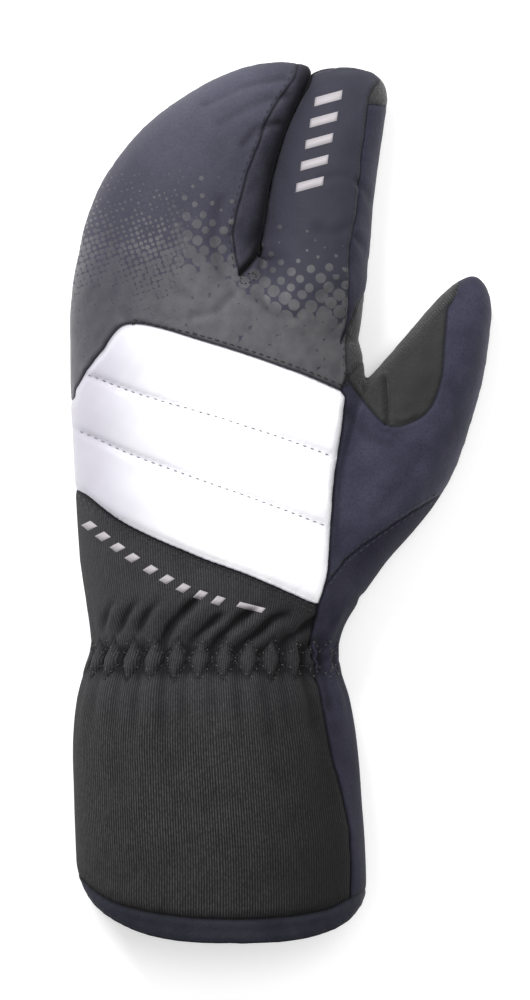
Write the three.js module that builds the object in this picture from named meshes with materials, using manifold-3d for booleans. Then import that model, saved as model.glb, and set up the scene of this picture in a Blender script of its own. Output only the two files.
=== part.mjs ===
// A left-hand winter cycling mitt with a split finger pocket, lying palm down.
// Millimetres; +Z is the back of the hand, +Y the fingertips, +X the thumb side.
// The hand, the index finger and the thumb are three hollow forms joined into one padded shell.
// The shell is then cut along its seams into the panels the real mitt is sewn from.
import * as THREE from "three";
import { mergeVertices } from "three/addons/utils/BufferGeometryUtils.js";
import ManifoldModule from "manifold-3d";

// Overall sizes
const mittLength = 300; // cuff hem to the tip of the finger pocket
const handWidth = 99.2; // little-finger side to index side, thumb left out
const handHeight = 47; // thickness over the knuckles as it lies filled out
const thumbLength = 118; // from inside the heel of the hand to the thumb tip
const thumbWidth = 38.5; // across the thumb at the crotch
const thumbHeight = 37; // thickness of the thumb at its base

// Padded cloth and the gaps between sewn panels
const wallThickness = 3.2;
const seamGap = 0.3;
const restPress = 3; // how far the underside is pressed flat where it lies
const pressFadeShare = 0.12; // sections whose underside is higher than this share aren't pressed

// Section shape
const widestLevelShare = 0.4; // height of the widest level, as a share of the section's height
const backRoundness = 2.25; // superellipse exponent above the widest level
const palmRoundness = 2.9; // superellipse exponent below it

// Where the thumb starts and which way it points, seen from above
const thumbRootShares = { across: 0.911, along: 0.478 }; // shares of handWidth and mittLength
const thumbLean = THREE.MathUtils.degToRad(30.8); // away from the fingers' direction
const thumbBackShare = 0.185; // the thumb's table starts this share of its length behind the root

// Levels of the seams that run round the sides
const sideSeamLevel = 13; // back panels meet the palm here
const gussetSeamLevel = 7; // the finger side strips reach lower
const gussetTopLevel = 17; // top of the split strip on the index finger
const aboveAll = 90; // higher than any part of the mitt
const belowAll = -20; // lower than any part of it
const pastCuff = 10; // how far the hollow runs out past the cuff opening

// Shares well outside the mitt, where a panel's outline may run freely
const farLeftShare = -0.3;
const farRightShare = 1.8;
const farHemShare = -0.2;
const farTipShare = 1.05;

// How the relief of the back fades, and what is too small to take a section
const sideTurnShare = 1.5; // how soon the relief of the back fades towards the sides, and where it ends
const sideTurnEndShare = 0.5;
const smallestWidth = 0.8; // sections smaller than this at a tip are left to the end point
const smallestThickness = 0.6;

// Mesh fineness: points over the back and the palm of each section, and the steps between sections
const handFineness = { back: 24, palm: 7, spacing: 11, reliefSpacing: 4.8 };
const fingerFineness = { back: 13, palm: 5, spacing: 11 };
const liningFineness = { back: 11, palm: 5, spacing: 26 };
const hemArcSteps = 24;
const reliefStartShare = 0.29; // the wrist and quilting need short steps between these shares along
const reliefEndShare = 0.7;

// Hand and finger pocket, hem to tip. along is a share of mittLength; left and right are shares of
// handWidth from the little-finger side; under and top are shares of handHeight.
const handSections = [
  { along: -0.02, left: 0.021, right: 1.017, under: 0, top: 1.17 },
  { along: 0.083, left: 0.021, right: 1.017, under: 0, top: 1.16 },
  { along: 0.16, left: 0.014, right: 1.003, under: 0, top: 1.12 },
  { along: 0.226, left: 0.01, right: 0.986, under: 0, top: 1.06 },
  { along: 0.274, left: 0.024, right: 0.962, under: 0, top: 1.0 },
  { along: 0.306, left: 0.048, right: 0.933, under: 0, top: 0.94 },
  { along: 0.331, left: 0.072, right: 0.924, under: 0, top: 0.92 },
  { along: 0.353, left: 0.069, right: 0.938, under: 0, top: 0.94 },
  { along: 0.385, left: 0.055, right: 0.979, under: 0, top: 0.98 },
  { along: 0.433, left: 0.034, right: 0.993, under: 0, top: 1.01 },
  { along: 0.481, left: 0.024, right: 1.003, under: 0, top: 1.02 },
  { along: 0.544, left: 0.014, right: 1.014, under: 0, top: 1.01 },
  { along: 0.615, left: 0.003, right: 1.017, under: 0, top: 1.0 },
  { along: 0.677, left: 0.0, right: 0.997, under: 0, top: 0.98 },
  { along: 0.711, left: 0.0, right: 0.935, under: 0, top: 0.965 },
  { along: 0.74, left: 0.007, right: 0.801, under: 0, top: 0.945 },
  { along: 0.762, left: 0.017, right: 0.694, under: 0, top: 0.925 },
  { along: 0.783, left: 0.031, right: 0.649, under: 0, top: 0.905 },
  { along: 0.815, left: 0.052, right: 0.662, under: 0, top: 0.87 },
  { along: 0.863, left: 0.11, right: 0.684, under: 0, top: 0.8 },
  { along: 0.91, left: 0.21, right: 0.725, under: 0.01, top: 0.7 },
  { along: 0.942, left: 0.313, right: 0.763, under: 0.03, top: 0.61 },
  { along: 0.974, left: 0.46, right: 0.811, under: 0.09, top: 0.49 },
  { along: 0.99, left: 0.567, right: 0.821, under: 0.16, top: 0.4 },
  { along: 0.997, left: 0.643, right: 0.794, under: 0.21, top: 0.34 },
  { along: 1.0, left: 0.718, right: 0.718, under: 0.28, top: 0.28 },
];

// Index finger, knuckle to tip, in the same shares. It starts inside the hand.
const indexSections = [
  { along: 0.669, left: 0.041, right: 0.983, under: 0.01, top: 0.96 },
  { along: 0.7, left: 0.223, right: 1.0, under: 0, top: 0.93 },
  { along: 0.728, left: 0.433, right: 1.01, under: 0, top: 0.88 },
  { along: 0.751, left: 0.577, right: 1.021, under: 0, top: 0.82 },
  { along: 0.769, left: 0.656, right: 1.024, under: 0, top: 0.78 },
  { along: 0.791, left: 0.663, right: 1.033, under: 0, top: 0.75 },
  { along: 0.831, left: 0.679, right: 1.041, under: 0, top: 0.72 },
  { along: 0.878, left: 0.708, right: 1.058, under: 0, top: 0.68 },
  { along: 0.926, left: 0.754, right: 1.079, under: 0.01, top: 0.61 },
  { along: 0.958, left: 0.799, right: 1.092, under: 0.05, top: 0.53 },
  { along: 0.974, left: 0.817, right: 1.082, under: 0.1, top: 0.46 },
  { along: 0.984, left: 0.832, right: 1.056, under: 0.16, top: 0.4 },
  { along: 0.989, left: 0.858, right: 1.032, under: 0.21, top: 0.35 },
  { along: 0.992, left: 0.888, right: 0.998, under: 0.24, top: 0.32 },
  { along: 0.994, left: 0.95, right: 0.95, under: 0.28, top: 0.28 },
];

// Thumb, heel to tip. along is a share of thumbLength; left and right are shares of thumbWidth from
// the thumb's own line; under and top are shares of thumbHeight.
const thumbSections = [
  { along: 0.0, left: -0.265, right: 0.46, under: 0.02, top: 0.8 },
  { along: 0.055, left: -0.292, right: 0.544, under: 0, top: 0.88 },
  { along: 0.165, left: -0.354, right: 0.584, under: 0, top: 0.96 },
  { along: 0.272, left: -0.398, right: 0.646, under: 0, top: 1.0 },
  { along: 0.373, left: -0.442, right: 0.688, under: 0, top: 1.0 },
  { along: 0.468, left: -0.442, right: 0.69, under: 0, top: 0.97 },
  { along: 0.552, left: -0.412, right: 0.649, under: 0, top: 0.94 },
  { along: 0.636, left: -0.36, right: 0.588, under: 0, top: 0.9 },
  { along: 0.717, left: -0.316, right: 0.522, under: 0, top: 0.86 },
  { along: 0.795, left: -0.276, right: 0.441, under: 0.01, top: 0.8 },
  { along: 0.87, left: -0.233, right: 0.344, under: 0.05, top: 0.73 },
  { along: 0.934, left: -0.181, right: 0.248, under: 0.12, top: 0.63 },
  { along: 0.971, left: -0.128, right: 0.164, under: 0.19, top: 0.54 },
  { along: 0.994, left: -0.071, right: 0.062, under: 0.27, top: 0.45 },
  { along: 1.0, left: -0.018, right: -0.018, under: 0.36, top: 0.36 },
];

// Seam lines seen from above, in shares of handWidth and mittLength
const reflectiveTopSeam = [
  { across: -0.2, along: 0.6 },
  { across: 0.007, along: 0.619 },
  { across: 0.107, along: 0.67 },
  { across: 0.21, along: 0.701 },
  { across: 0.491, along: 0.678 },
  { across: 0.773, along: 0.647 },
  { across: 0.93, along: 0.625 },
];
const reflectiveSideSeam = [
  { across: 0.948, along: 0.613 },
  { across: 0.914, along: 0.532 },
  { across: 0.892, along: 0.447 },
  { across: 0.856, along: 0.383 },
];
const reflectiveLowSeam = [
  { across: 0.845, along: 0.385 },
  { across: 0.622, along: 0.417 },
  { across: 0.426, along: 0.441 },
  { across: 0.189, along: 0.477 },
  { across: 0.021, along: 0.514 },
  { across: -0.2, along: 0.53 },
];
const cuffSideSeam = [
  { across: 0.856, along: 0.383 },
  { across: 0.83, along: 0.33 },
  { across: 0.866, along: 0.282 },
  { across: 0.904, along: 0.216 },
  { across: 0.945, along: 0.16 },
  { across: 0.965, along: 0.1 },
  { across: 0.97, along: -0.05 },
];
const hemSeam = [
  { across: -0.3, along: 0.17 },
  { across: -0.034, along: 0.101 },
  { across: 0.05, along: 0.067 },
  { across: 0.168, along: 0.043 },
  { across: 0.378, along: 0.03 },
  { across: 0.619, along: 0.027 },
  { across: 0.825, along: 0.033 },
  { across: 0.96, along: 0.049 },
  { across: 1.3, along: 0.12 },
];
const pocketSideSeam = [
  { across: 0.79, along: 1.05 },
  { across: 0.78, along: 0.99 },
  { across: 0.755, along: 0.972 },
  { across: 0.691, along: 0.94 },
  { across: 0.643, along: 0.898 },
  { across: 0.605, along: 0.866 },
  { across: 0.564, along: 0.81 },
  { across: 0.569, along: 0.785 },
  { across: 0.578, along: 0.762 },
];
const splitLine = [
  { across: 0.586, along: 0.756 },
  { across: 0.622, along: 0.768 },
  { across: 0.652, along: 0.783 },
  { across: 0.66, along: 0.806 },
  { across: 0.677, along: 0.839 },
  { across: 0.711, along: 0.887 },
  { across: 0.756, along: 0.932 },
  { across: 0.801, along: 0.96 },
  { across: 0.832, along: 0.983 },
  { across: 0.86, along: 1.05 },
];
const indexSideSeam = [
  { across: 1.035, along: 1.05 },
  { across: 1.031, along: 0.978 },
  { across: 1.02, along: 0.94 },
  { across: 1.0, along: 0.887 },
  { across: 0.983, along: 0.826 },
  { across: 0.962, along: 0.786 },
  { across: 0.955, along: 0.708 },
  { across: 0.948, along: 0.67 },
  { across: 0.952, along: 0.639 },
];
const palmWrapEdge = [
  { across: 1.2, along: 0.81 },
  { across: 1.01, along: 0.733 },
  { across: 0.973, along: 0.708 },
  { across: 0.93, along: 0.678 },
];
const thumbPatchSeam = [
  { across: 1.4, along: 0.82 },
  { across: 1.323, along: 0.735 },
  { across: 1.296, along: 0.717 },
  { across: 1.285, along: 0.68 },
  { across: 1.275, along: 0.64 },
  { across: 1.24, along: 0.607 },
  { across: 1.18, along: 0.591 },
  { across: 1.089, along: 0.586 },
  { across: 1.003, along: 0.616 },
  { across: 0.952, along: 0.639 },
];
const thumbBaseSeam = [
  { across: 0.88, along: 0.405 },
  { across: 0.942, along: 0.431 },
  { across: 1.01, along: 0.45 },
  { across: 1.127, along: 0.478 },
  { across: 1.275, along: 0.507 },
  { across: 1.5, along: 0.54 },
];

// Hidden or shared edges of panels, in the same shares. The cuff's upper edge lies under the
// reflective panel, which is taken first.
const cuffTopEdge = [
  { across: farLeftShare, along: 0.55 },
  { across: 0.2, along: 0.5 },
  { across: 0.7, along: 0.43 },
];
const gussetHiddenEdge = [
  { across: 1.0, along: farTipShare },
  { across: 0.86, along: 0.96 },
  { across: 0.78, along: 0.86 },
  { across: 0.74, along: 0.748 },
];
const indexCornerEdge = [
  { across: 1.3, along: 0.944 },
  { across: 1.024, along: 0.952 },
];
const thumbCrotchEdge = [
  { across: 1.0, along: 0.655 },
  { across: 1.03, along: 0.665 },
  { across: 1.06, along: 0.69 },
];
const thumbBackStart = { across: 0.8, along: 0.639 };
const backPanelStart = { across: 0.8, along: 0.6 };
const backPanelHemShare = 0.5; // under the reflective panel, as a share of mittLength
const cuffPalmTopShare = 0.405; // where the cuff's palm side ends, as a share of mittLength

// Outer end of the cuff: a superellipse in plan that rounds the hem's corners
const hemEndShares = { middle: 0.526, reach: 0.508, depth: 0.103 };
const hemRoundness = { left: 2.38, right: 3.25 };

// Quilting of the reflective panel: two stitched valleys and the puff between them
const quiltEndShare = 0.95; // share across at which the quilting stops
const quiltDepth = 1.3;
const quiltPuff = 1.0;
const quiltValleyWidth = 3.2;
const quiltLines = [
  { leftAlong: 0.653, rightAlong: 0.54 },
  { leftAlong: 0.582, rightAlong: 0.46 },
];

// Gathers and slanting folds of the wrist
const deepestRelief = 1.8; // no fold or valley is deeper, so the padded wall keeps its body
const gatherCount = 6; // gathers over the back, and as many over the palm
const gatherDepth = 1.3;
const gatherLevelShare = 0.318; // middle of the elastic, as a share of mittLength
const gatherSpreadShare = 0.055; // how far the gathers fade out, as a share of mittLength
const wristFoldDepth = 1.6;
const wristFoldWidth = 3.6;
const wristFolds = [
  { across: 0.2, along: 0.366, length: 0.05, slant: 48 },
  { across: 0.365, along: 0.364, length: 0.06, slant: 50 },
  { across: 0.47, along: 0.356, length: 0.04, slant: 42 },
  { across: 0.56, along: 0.357, length: 0.045, slant: 40 },
  { across: 0.67, along: 0.356, length: 0.045, slant: 36 },
  { across: 0.79, along: 0.354, length: 0.04, slant: 40 },
];

const manifold = await ManifoldModule();
manifold.setup();

const alongTo = (share) => share * mittLength;
const acrossTo = (share) => share * handWidth;

// Smooth rows between the rows of a section table, about as far apart as the fineness says.
function fineRows(rows, scale, fineness) {
  const columns = ["along", "left", "right", "under", "top"];
  const real = rows.map((row) => {
    const sized = {};
    for (const column of columns) {
      sized[column] = row[column] * scale[column];
    }
    return sized;
  });
  const distance = [0];
  for (let i = 1; i < real.length; i++) {
    const step = columns.reduce((sum, c) => sum + (real[i][c] - real[i - 1][c]) ** 2, 0);
    distance.push(distance[i - 1] + Math.sqrt(step));
  }
  const slope = (i, column) => {
    const before = Math.max(i - 1, 0);
    const after = Math.min(i + 1, real.length - 1);
    return (real[after][column] - real[before][column]) / (distance[after] - distance[before]);
  };
  const fine = [];
  for (let i = 0; i + 1 < real.length; i++) {
    const span = distance[i + 1] - distance[i];
    const inRelief = rows[i].along > reliefStartShare && rows[i].along < reliefEndShare;
    const spacing = (inRelief && fineness.reliefSpacing) || fineness.spacing;
    const steps = Math.max(1, Math.round(span / spacing));
    for (let j = 0; j < steps; j++) {
      const t = j / steps;
      const row = {};
      for (const column of columns) {
        const start = real[i][column];
        const end = real[i + 1][column];
        row[column] =
          (2 * t ** 3 - 3 * t ** 2 + 1) * start +
          (t ** 3 - 2 * t ** 2 + t) * span * slope(i, column) +
          (3 * t ** 2 - 2 * t ** 3) * end +
          (t ** 3 - t ** 2) * span * slope(i + 1, column);
      }
      fine.push(row);
    }
  }
  fine.push(real[real.length - 1]);
  return fine;
}

// Bulge of the quilted panel between its seams, by place seen from above.
function quiltRelief(across, along) {
  const top = lineAt(reflectiveTopSeam, across);
  const low = lineAt(reflectiveLowSeam, across);
  if (along > top || along < low || across > quiltEndShare) {
    return 0;
  }
  const levels = [top, low];
  for (const line of quiltLines) {
    levels.push(line.leftAlong + (line.rightAlong - line.leftAlong) * across);
  }
  const nearest = Math.min(...levels.map((level) => Math.abs(along - level))) * mittLength;
  const valley = Math.exp(-((nearest / quiltValleyWidth) ** 2));
  return quiltPuff - (quiltPuff + quiltDepth) * valley;
}

// Height of a seam line, as a share along, at a share across.
function lineAt(line, across) {
  const rows = line[0].across < line[line.length - 1].across ? line : [...line].reverse();
  const next = rows.findIndex((row) => row.across > across);
  if (next <= 0) {
    return next === 0 ? rows[0].along : rows[rows.length - 1].along;
  }
  const a = rows[next - 1];
  const b = rows[next];
  return a.along + ((b.along - a.along) * (across - a.across)) / (b.across - a.across);
}

// Gathers round the elastic and the slanting folds above it.
function wristRelief(across, along, turn) {
  const fade = Math.exp(-(((along - gatherLevelShare) / gatherSpreadShare) ** 2));
  let relief = gatherDepth * fade * Math.cos(turn * 2 * gatherCount);
  for (const fold of wristFolds) {
    const slant = THREE.MathUtils.degToRad(fold.slant);
    const dx = acrossTo(across - fold.across);
    const dy = alongTo(along - fold.along);
    const lengthways = dx * Math.cos(slant) + dy * Math.sin(slant);
    const sideways = dy * Math.cos(slant) - dx * Math.sin(slant);
    const reach = (fold.length * mittLength) / 2;
    const ends = Math.exp(-((lengthways / reach) ** 4));
    relief -= wristFoldDepth * ends * Math.exp(-((sideways / wristFoldWidth) ** 2));
  }
  return relief;
}

// Points in the ring of one section.
function pointsAround(fineness) {
  return Math.round(fineness.back) + Math.round(fineness.palm);
}

// One section of a form as a closed ring of points, in its own across and height.
function sectionRing(row, fineness, inset, relief) {
  const left = row.left + inset;
  const right = row.right - inset;
  const top = row.top - inset;
  const under = row.under + inset;
  const middle = under + (top - under) * widestLevelShare;
  const half = (right - left) / 2;
  const ring = [];
  const back = Math.round(fineness.back);
  for (let k = 0; k < pointsAround(fineness); k++) {
    const overBack = k < back;
    const share = overBack ? k / back : 1 + (k - back) / Math.round(fineness.palm);
    const turn = Math.PI * share;
    const c = Math.cos(turn);
    const s = Math.sin(turn);
    const power = overBack ? backRoundness : palmRoundness;
    const rise = overBack ? top - middle : middle - under;
    const x = Math.sign(c) * Math.abs(c) ** (2 / power);
    const z = Math.sign(s) * Math.abs(s) ** (2 / power);
    const outX = (Math.sign(x) * Math.abs(x) ** (power - 1)) / half;
    const outZ = (Math.sign(z) * Math.abs(z) ** (power - 1)) / rise;
    const size = Math.hypot(outX, outZ) || 1;
    const across = (left + right) / 2 + half * x;
    const upper = Math.min(1, Math.max(0, sideTurnShare * s + sideTurnEndShare));
    const push = relief ? relief(across, row.along, turn) * upper : 0;
    ring.push({
      across: across + (push * outX) / size,
      height: Math.max(middle + rise * z + (push * outZ) / size, inset),
    });
  }
  return ring;
}

// A closed form through its sections: place turns along, across and height into a point.
function form({ rows, fineness, inset, openEnd, relief, place }) {
  const fine = fineRows(rows.table, rows.scale, fineness);
  const length = fine[fine.length - 1].along;
  const shorten = (length - inset) / length;
  const usable = fine.filter((row) => {
    const width = row.right - row.left - 2 * inset;
    const thick = row.top - row.under - 2 * inset + (row.under < 0 ? -row.under : 0);
    return width > smallestWidth && thick > smallestThickness;
  });
  const points = [];
  for (const row of usable) {
    const along = row.along > 0 ? row.along * shorten : row.along;
    for (const spot of sectionRing(row, fineness, inset, relief)) {
      points.push(place(along, spot.across, spot.height));
    }
  }
  const first = usable[0];
  const last = fine[fine.length - 1];
  const startAlong = openEnd ? first.along - openEnd : first.along;
  const poles = [
    place(startAlong, (first.left + first.right) / 2, (first.top + Math.max(first.under, 0)) / 2),
    place(last.along * shorten, (last.left + last.right) / 2, (last.top + last.under) / 2),
  ];
  points.push(...poles);
  const triangles = [];
  const around = pointsAround(fineness);
  const count = usable.length;
  for (let i = 0; i < count; i++) {
    for (let k = 0; k < around; k++) {
      const next = (k + 1) % around;
      const a = i * around + k;
      const b = i * around + next;
      if (i === 0) {
        triangles.push(count * around, a, b);
      }
      if (i === count - 1) {
        triangles.push(count * around + 1, b, a);
      } else {
        triangles.push(a, b + around, b, a, a + around, b + around);
      }
    }
  }
  const geometry = new THREE.BufferGeometry().setFromPoints(points);
  geometry.setIndex(triangles);
  return solidOf(geometry);
}

// A three.js geometry as a closed solid ready to join and cut.
function solidOf(geometry) {
  const bare = new THREE.BufferGeometry();
  bare.setAttribute("position", geometry.getAttribute("position"));
  bare.setIndex(geometry.index);
  const merged = mergeVertices(bare, 1e-3);
  const mesh = new manifold.Mesh({
    numProp: 3,
    vertProperties: merged.attributes.position.array,
    triVerts: new Uint32Array(merged.index.array),
  });
  const solid = new manifold.Manifold(mesh);
  if (solid.volume() < 0) {
    throw new Error("a form is inside out");
  }
  return solid;
}

// Scales that turn each table's shares into millimetres
const handScale = {
  along: mittLength,
  left: handWidth,
  right: handWidth,
  under: handHeight,
  top: handHeight,
};
const thumbScale = {
  along: thumbLength,
  left: thumbWidth,
  right: thumbWidth,
  under: thumbHeight,
  top: thumbHeight,
};

const placeHand = (along, across, height) => new THREE.Vector3(across, along, height);
const rootX = acrossTo(thumbRootShares.across);
const rootY = alongTo(thumbRootShares.along);
const rootBack = thumbBackShare * thumbLength;
const placeThumb = (along, across, height) => {
  const out = along - rootBack;
  const x = rootX + out * Math.sin(thumbLean) + across * Math.cos(thumbLean);
  const y = rootY + out * Math.cos(thumbLean) - across * Math.sin(thumbLean);
  return new THREE.Vector3(x, y, height);
};

// The undersides are pressed into the table by restPress and cut off flat there.
const pressed = (table, height) => {
  const press = restPress / height;
  const lowered = (under) => under - press * Math.max(0, 1 - under / pressFadeShare);
  return table.map((row) => ({ ...row, under: lowered(row.under) }));
};

const handRows = { table: pressed(handSections, handHeight), scale: handScale };
const indexRows = { table: pressed(indexSections, handHeight), scale: handScale };
const thumbRows = { table: pressed(thumbSections, thumbHeight), scale: thumbScale };

const handRelief = (across, along, turn) => {
  const shareAcross = across / handWidth;
  const shareAlong = along / mittLength;
  const relief = quiltRelief(shareAcross, shareAlong) + wristRelief(shareAcross, shareAlong, turn);
  return Math.max(relief, -deepestRelief);
};

// Padded shell: the three outer forms joined, less the three hollows joined
function outerForm(rows, fineness, place, relief) {
  return form({ rows, fineness, inset: 0, place, relief });
}
function hollowForm(rows, place, openEnd) {
  return form({ rows, fineness: liningFineness, inset: wallThickness, openEnd, place });
}

const outside = outerForm(handRows, handFineness, placeHand, handRelief)
  .add(outerForm(indexRows, fingerFineness, placeHand))
  .add(outerForm(thumbRows, fingerFineness, placeThumb));
const inside = hollowForm(handRows, placeHand, pastCuff)
  .add(hollowForm(indexRows, placeHand))
  .add(hollowForm(thumbRows, placeThumb));

// Seam outlines

// The points of a table, as plan points in millimetres.
function corners(...rows) {
  return rows.map((row) => new THREE.Vector2(acrossTo(row.across), alongTo(row.along)));
}

// A smooth line through a seam table.
function seamPoints(line, perSpan = 2) {
  return new THREE.SplineCurve(corners(...line)).getPoints(perSpan * (line.length - 1));
}

// The outline moved outwards by a distance.
function grown(points, distance) {
  const area = THREE.ShapeUtils.area(points);
  const side = area > 0 ? 1 : -1;
  return points.map((point, i) => {
    const before = points[(i + points.length - 1) % points.length];
    const after = points[(i + 1) % points.length];
    const inward = point.clone().sub(before).normalize();
    const onward = after.clone().sub(point).normalize();
    const normal = new THREE.Vector2(inward.y + onward.y, -inward.x - onward.x);
    const scale = (2 * side * distance) / Math.max(normal.lengthSq(), 1);
    return point.clone().addScaledVector(normal, scale);
  });
}

// An upright block over a plan outline between two levels.
function block(outline, from, to) {
  const shape = new THREE.Shape(outline);
  const geometry = new THREE.ExtrudeGeometry(shape, { depth: to - from, bevelEnabled: false });
  geometry.translate(0, 0, from);
  return solidOf(geometry);
}

// The space taken by a panel, and the same space with the seam gap round it
function region(outline, from, to = aboveAll) {
  return {
    exact: block(outline, from, to),
    spaced: block(grown(outline, seamGap), from - seamGap, to + seamGap),
  };
}
function joined(...regions) {
  return {
    exact: regions.map((r) => r.exact).reduce((a, b) => a.add(b)),
    spaced: regions.map((r) => r.spaced).reduce((a, b) => a.add(b)),
  };
}

// The mitt ends at the rounded hem
const hemArc = [];
const arcSteps = Math.round(hemArcSteps);
for (let k = 0; k <= arcSteps; k++) {
  const turn = Math.PI + (Math.PI * k) / arcSteps;
  const c = Math.cos(turn);
  const s = Math.sin(turn);
  const roundness = c < 0 ? hemRoundness.left : hemRoundness.right;
  const x = Math.sign(c) * Math.abs(c) ** (2 / roundness);
  const y = -(Math.abs(s) ** (2 / roundness));
  hemArc.push({ across: hemEndShares.middle + hemEndShares.reach * x, along: hemEndShares.depth * (1 + y) });
}
const hemLeft = { across: farLeftShare, along: farHemShare };
const hemRight = { across: farRightShare, along: farHemShare };
const beyondHem = block(
  corners(
    hemLeft,
    { across: farLeftShare, along: hemEndShares.depth },
    ...hemArc,
    { across: farRightShare, along: hemEndShares.depth },
    hemRight,
  ),
  belowAll,
  aboveAll,
);
let rest = outside.subtract(inside).subtract(beyondHem);

// Panels taken from the shell one after another, each leaving a seam gap to what remains
const group = new THREE.Group();
group.name = "split_finger_mitt";

const materials = {
  softshell: new THREE.MeshStandardMaterial({ color: 0x55535e, roughness: 0.75 }),
  navy: new THREE.MeshStandardMaterial({ color: 0x3d3c4c, roughness: 0.75 }),
  ribbed: new THREE.MeshStandardMaterial({ color: 0x2b2b2e, roughness: 0.85 }),
  reflective: new THREE.MeshStandardMaterial({ color: 0xf2f2f5, roughness: 0.5 }),
  leather: new THREE.MeshStandardMaterial({ color: 0x3b3b37, roughness: 0.7 }),
};

function addPanel(name, solid, material) {
  const bodies = solid.decompose().sort((a, b) => b.volume() - a.volume());
  const mesh = bodies[0].getMesh();
  const geometry = new THREE.BufferGeometry();
  geometry.setAttribute("position", new THREE.BufferAttribute(mesh.vertProperties, 3));
  geometry.setIndex(new THREE.BufferAttribute(mesh.triVerts, 1));
  geometry.computeVertexNormals();
  const panel = new THREE.Mesh(geometry, material);
  panel.name = name;
  group.add(panel);
}
function takePanel(name, space, material) {
  addPanel(name, rest.intersect(space.exact), material);
  rest = rest.subtract(space.spaced);
}

takePanel(
  "hem_band",
  region([...seamPoints(hemSeam), ...corners(hemRight, hemLeft)], belowAll),
  materials.navy,
);
takePanel(
  "reflective_panel",
  region(
    [
      ...seamPoints(reflectiveTopSeam),
      ...seamPoints(reflectiveSideSeam),
      ...seamPoints(reflectiveLowSeam),
    ],
    sideSeamLevel,
  ),
  materials.reflective,
);
takePanel(
  "cuff_back",
  region(
    [...corners(...cuffTopEdge), ...seamPoints(cuffSideSeam), ...corners(hemLeft)],
    sideSeamLevel,
  ),
  materials.ribbed,
);
takePanel(
  "thumb_patch",
  region(
    [...seamPoints(thumbPatchSeam), ...corners(...thumbCrotchEdge)],
    sideSeamLevel,
  ),
  materials.leather,
);
takePanel(
  "split_gusset",
  joined(
    region([...seamPoints(pocketSideSeam), ...seamPoints(splitLine)], gussetSeamLevel),
    region(
      [...seamPoints(splitLine), ...corners(...gussetHiddenEdge)],
      gussetSeamLevel,
      gussetTopLevel,
    ),
  ),
  materials.navy,
);
takePanel(
  "index_side",
  region(
    [
      ...seamPoints(indexSideSeam.slice(2, 7)),
      ...seamPoints(palmWrapEdge).reverse(),
      ...corners(...indexCornerEdge),
    ],
    gussetSeamLevel,
  ),
  materials.navy,
);
takePanel(
  "thumb_back",
  region(
    [
      ...corners(thumbBackStart, thumbPatchSeam[thumbPatchSeam.length - 1], ...thumbCrotchEdge),
      ...corners({ across: farRightShare, along: farTipShare }),
      ...seamPoints(thumbBaseSeam).reverse(),
    ],
    sideSeamLevel,
  ),
  materials.navy,
);
takePanel(
  "back_panel",
  region(
    [
      ...corners({ across: farLeftShare, along: backPanelHemShare }),
      ...corners({ across: farLeftShare, along: farTipShare }),
      ...seamPoints(indexSideSeam),
      ...corners(backPanelStart),
    ],
    sideSeamLevel,
  ),
  materials.softshell,
);
takePanel(
  "cuff_palm",
  region(
    [
      ...corners(hemLeft, { across: farLeftShare, along: cuffPalmTopShare }),
      ...seamPoints(thumbBaseSeam),
      ...corners(hemRight),
    ],
    belowAll,
  ),
  materials.navy,
);
addPanel("palm_panel", rest, materials.leather);

// Stand the mitt with the middle of its underside at the origin
const bounds = new THREE.Box3().setFromObject(group);
const middle = bounds.getCenter(new THREE.Vector3());
for (const panel of group.children) {
  panel.geometry.translate(-middle.x, -middle.y, -bounds.min.z);
}

export default group;
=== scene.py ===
"""The look of the split-finger mitt: its skin, panels, seams, stitches, cloths, light and camera.

The skin is built once as one smooth closed form from the same section tables as the part's source.
It is then quilted, gathered and folded, and cut along its seams into the panels.
Lengths are in millimetres until a mesh is made.
"""

import math

import bpy
import numpy as np
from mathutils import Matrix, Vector, kdtree
from mathutils.bvhtree import BVHTree


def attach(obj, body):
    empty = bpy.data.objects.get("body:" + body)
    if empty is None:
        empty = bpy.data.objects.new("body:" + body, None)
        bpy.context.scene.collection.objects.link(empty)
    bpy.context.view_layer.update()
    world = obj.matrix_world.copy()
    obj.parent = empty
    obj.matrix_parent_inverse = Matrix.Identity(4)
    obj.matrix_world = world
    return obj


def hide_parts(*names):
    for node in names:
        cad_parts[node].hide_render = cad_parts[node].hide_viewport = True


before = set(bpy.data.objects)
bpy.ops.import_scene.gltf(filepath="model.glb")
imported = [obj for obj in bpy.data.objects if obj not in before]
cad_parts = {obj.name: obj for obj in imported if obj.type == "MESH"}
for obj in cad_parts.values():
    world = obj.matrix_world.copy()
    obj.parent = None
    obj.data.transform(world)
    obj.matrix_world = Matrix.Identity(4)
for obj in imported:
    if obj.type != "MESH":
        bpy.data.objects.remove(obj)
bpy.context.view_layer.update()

# Sizes shared with the part's source
MITT_LENGTH = 300.0
HAND_WIDTH = 99.2
HAND_HEIGHT = 47.0
THUMB_LENGTH = 118.0
THUMB_WIDTH = 38.5
THUMB_HEIGHT = 37.0
REST_PRESS = 3.0
PRESS_FADE = 0.12
WIDEST_LEVEL = 0.4
BACK_ROUNDNESS = 2.25
PALM_ROUNDNESS = 2.9
THUMB_ROOT = (0.911, 0.478)
THUMB_LEAN = 30.8
THUMB_BACK = 0.185
SIDE_SEAM = 13.0
GUSSET_SEAM = 7.0
LEFT_EDGE = -71.94
HEM_END = -150.0
HEM_ROUNDNESS = (2.38, 3.25)
HEM_MIDDLE = 0.526
HEM_REACH = 0.508
HEM_DEPTH = 0.103
REFERENCE_GIRTH = 245.0
HAND_SCALE = np.array([MITT_LENGTH, HAND_WIDTH, HAND_WIDTH, HAND_HEIGHT, HAND_HEIGHT])
THUMB_SCALE = np.array([THUMB_LENGTH, THUMB_WIDTH, THUMB_WIDTH, THUMB_HEIGHT, THUMB_HEIGHT])

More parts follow.
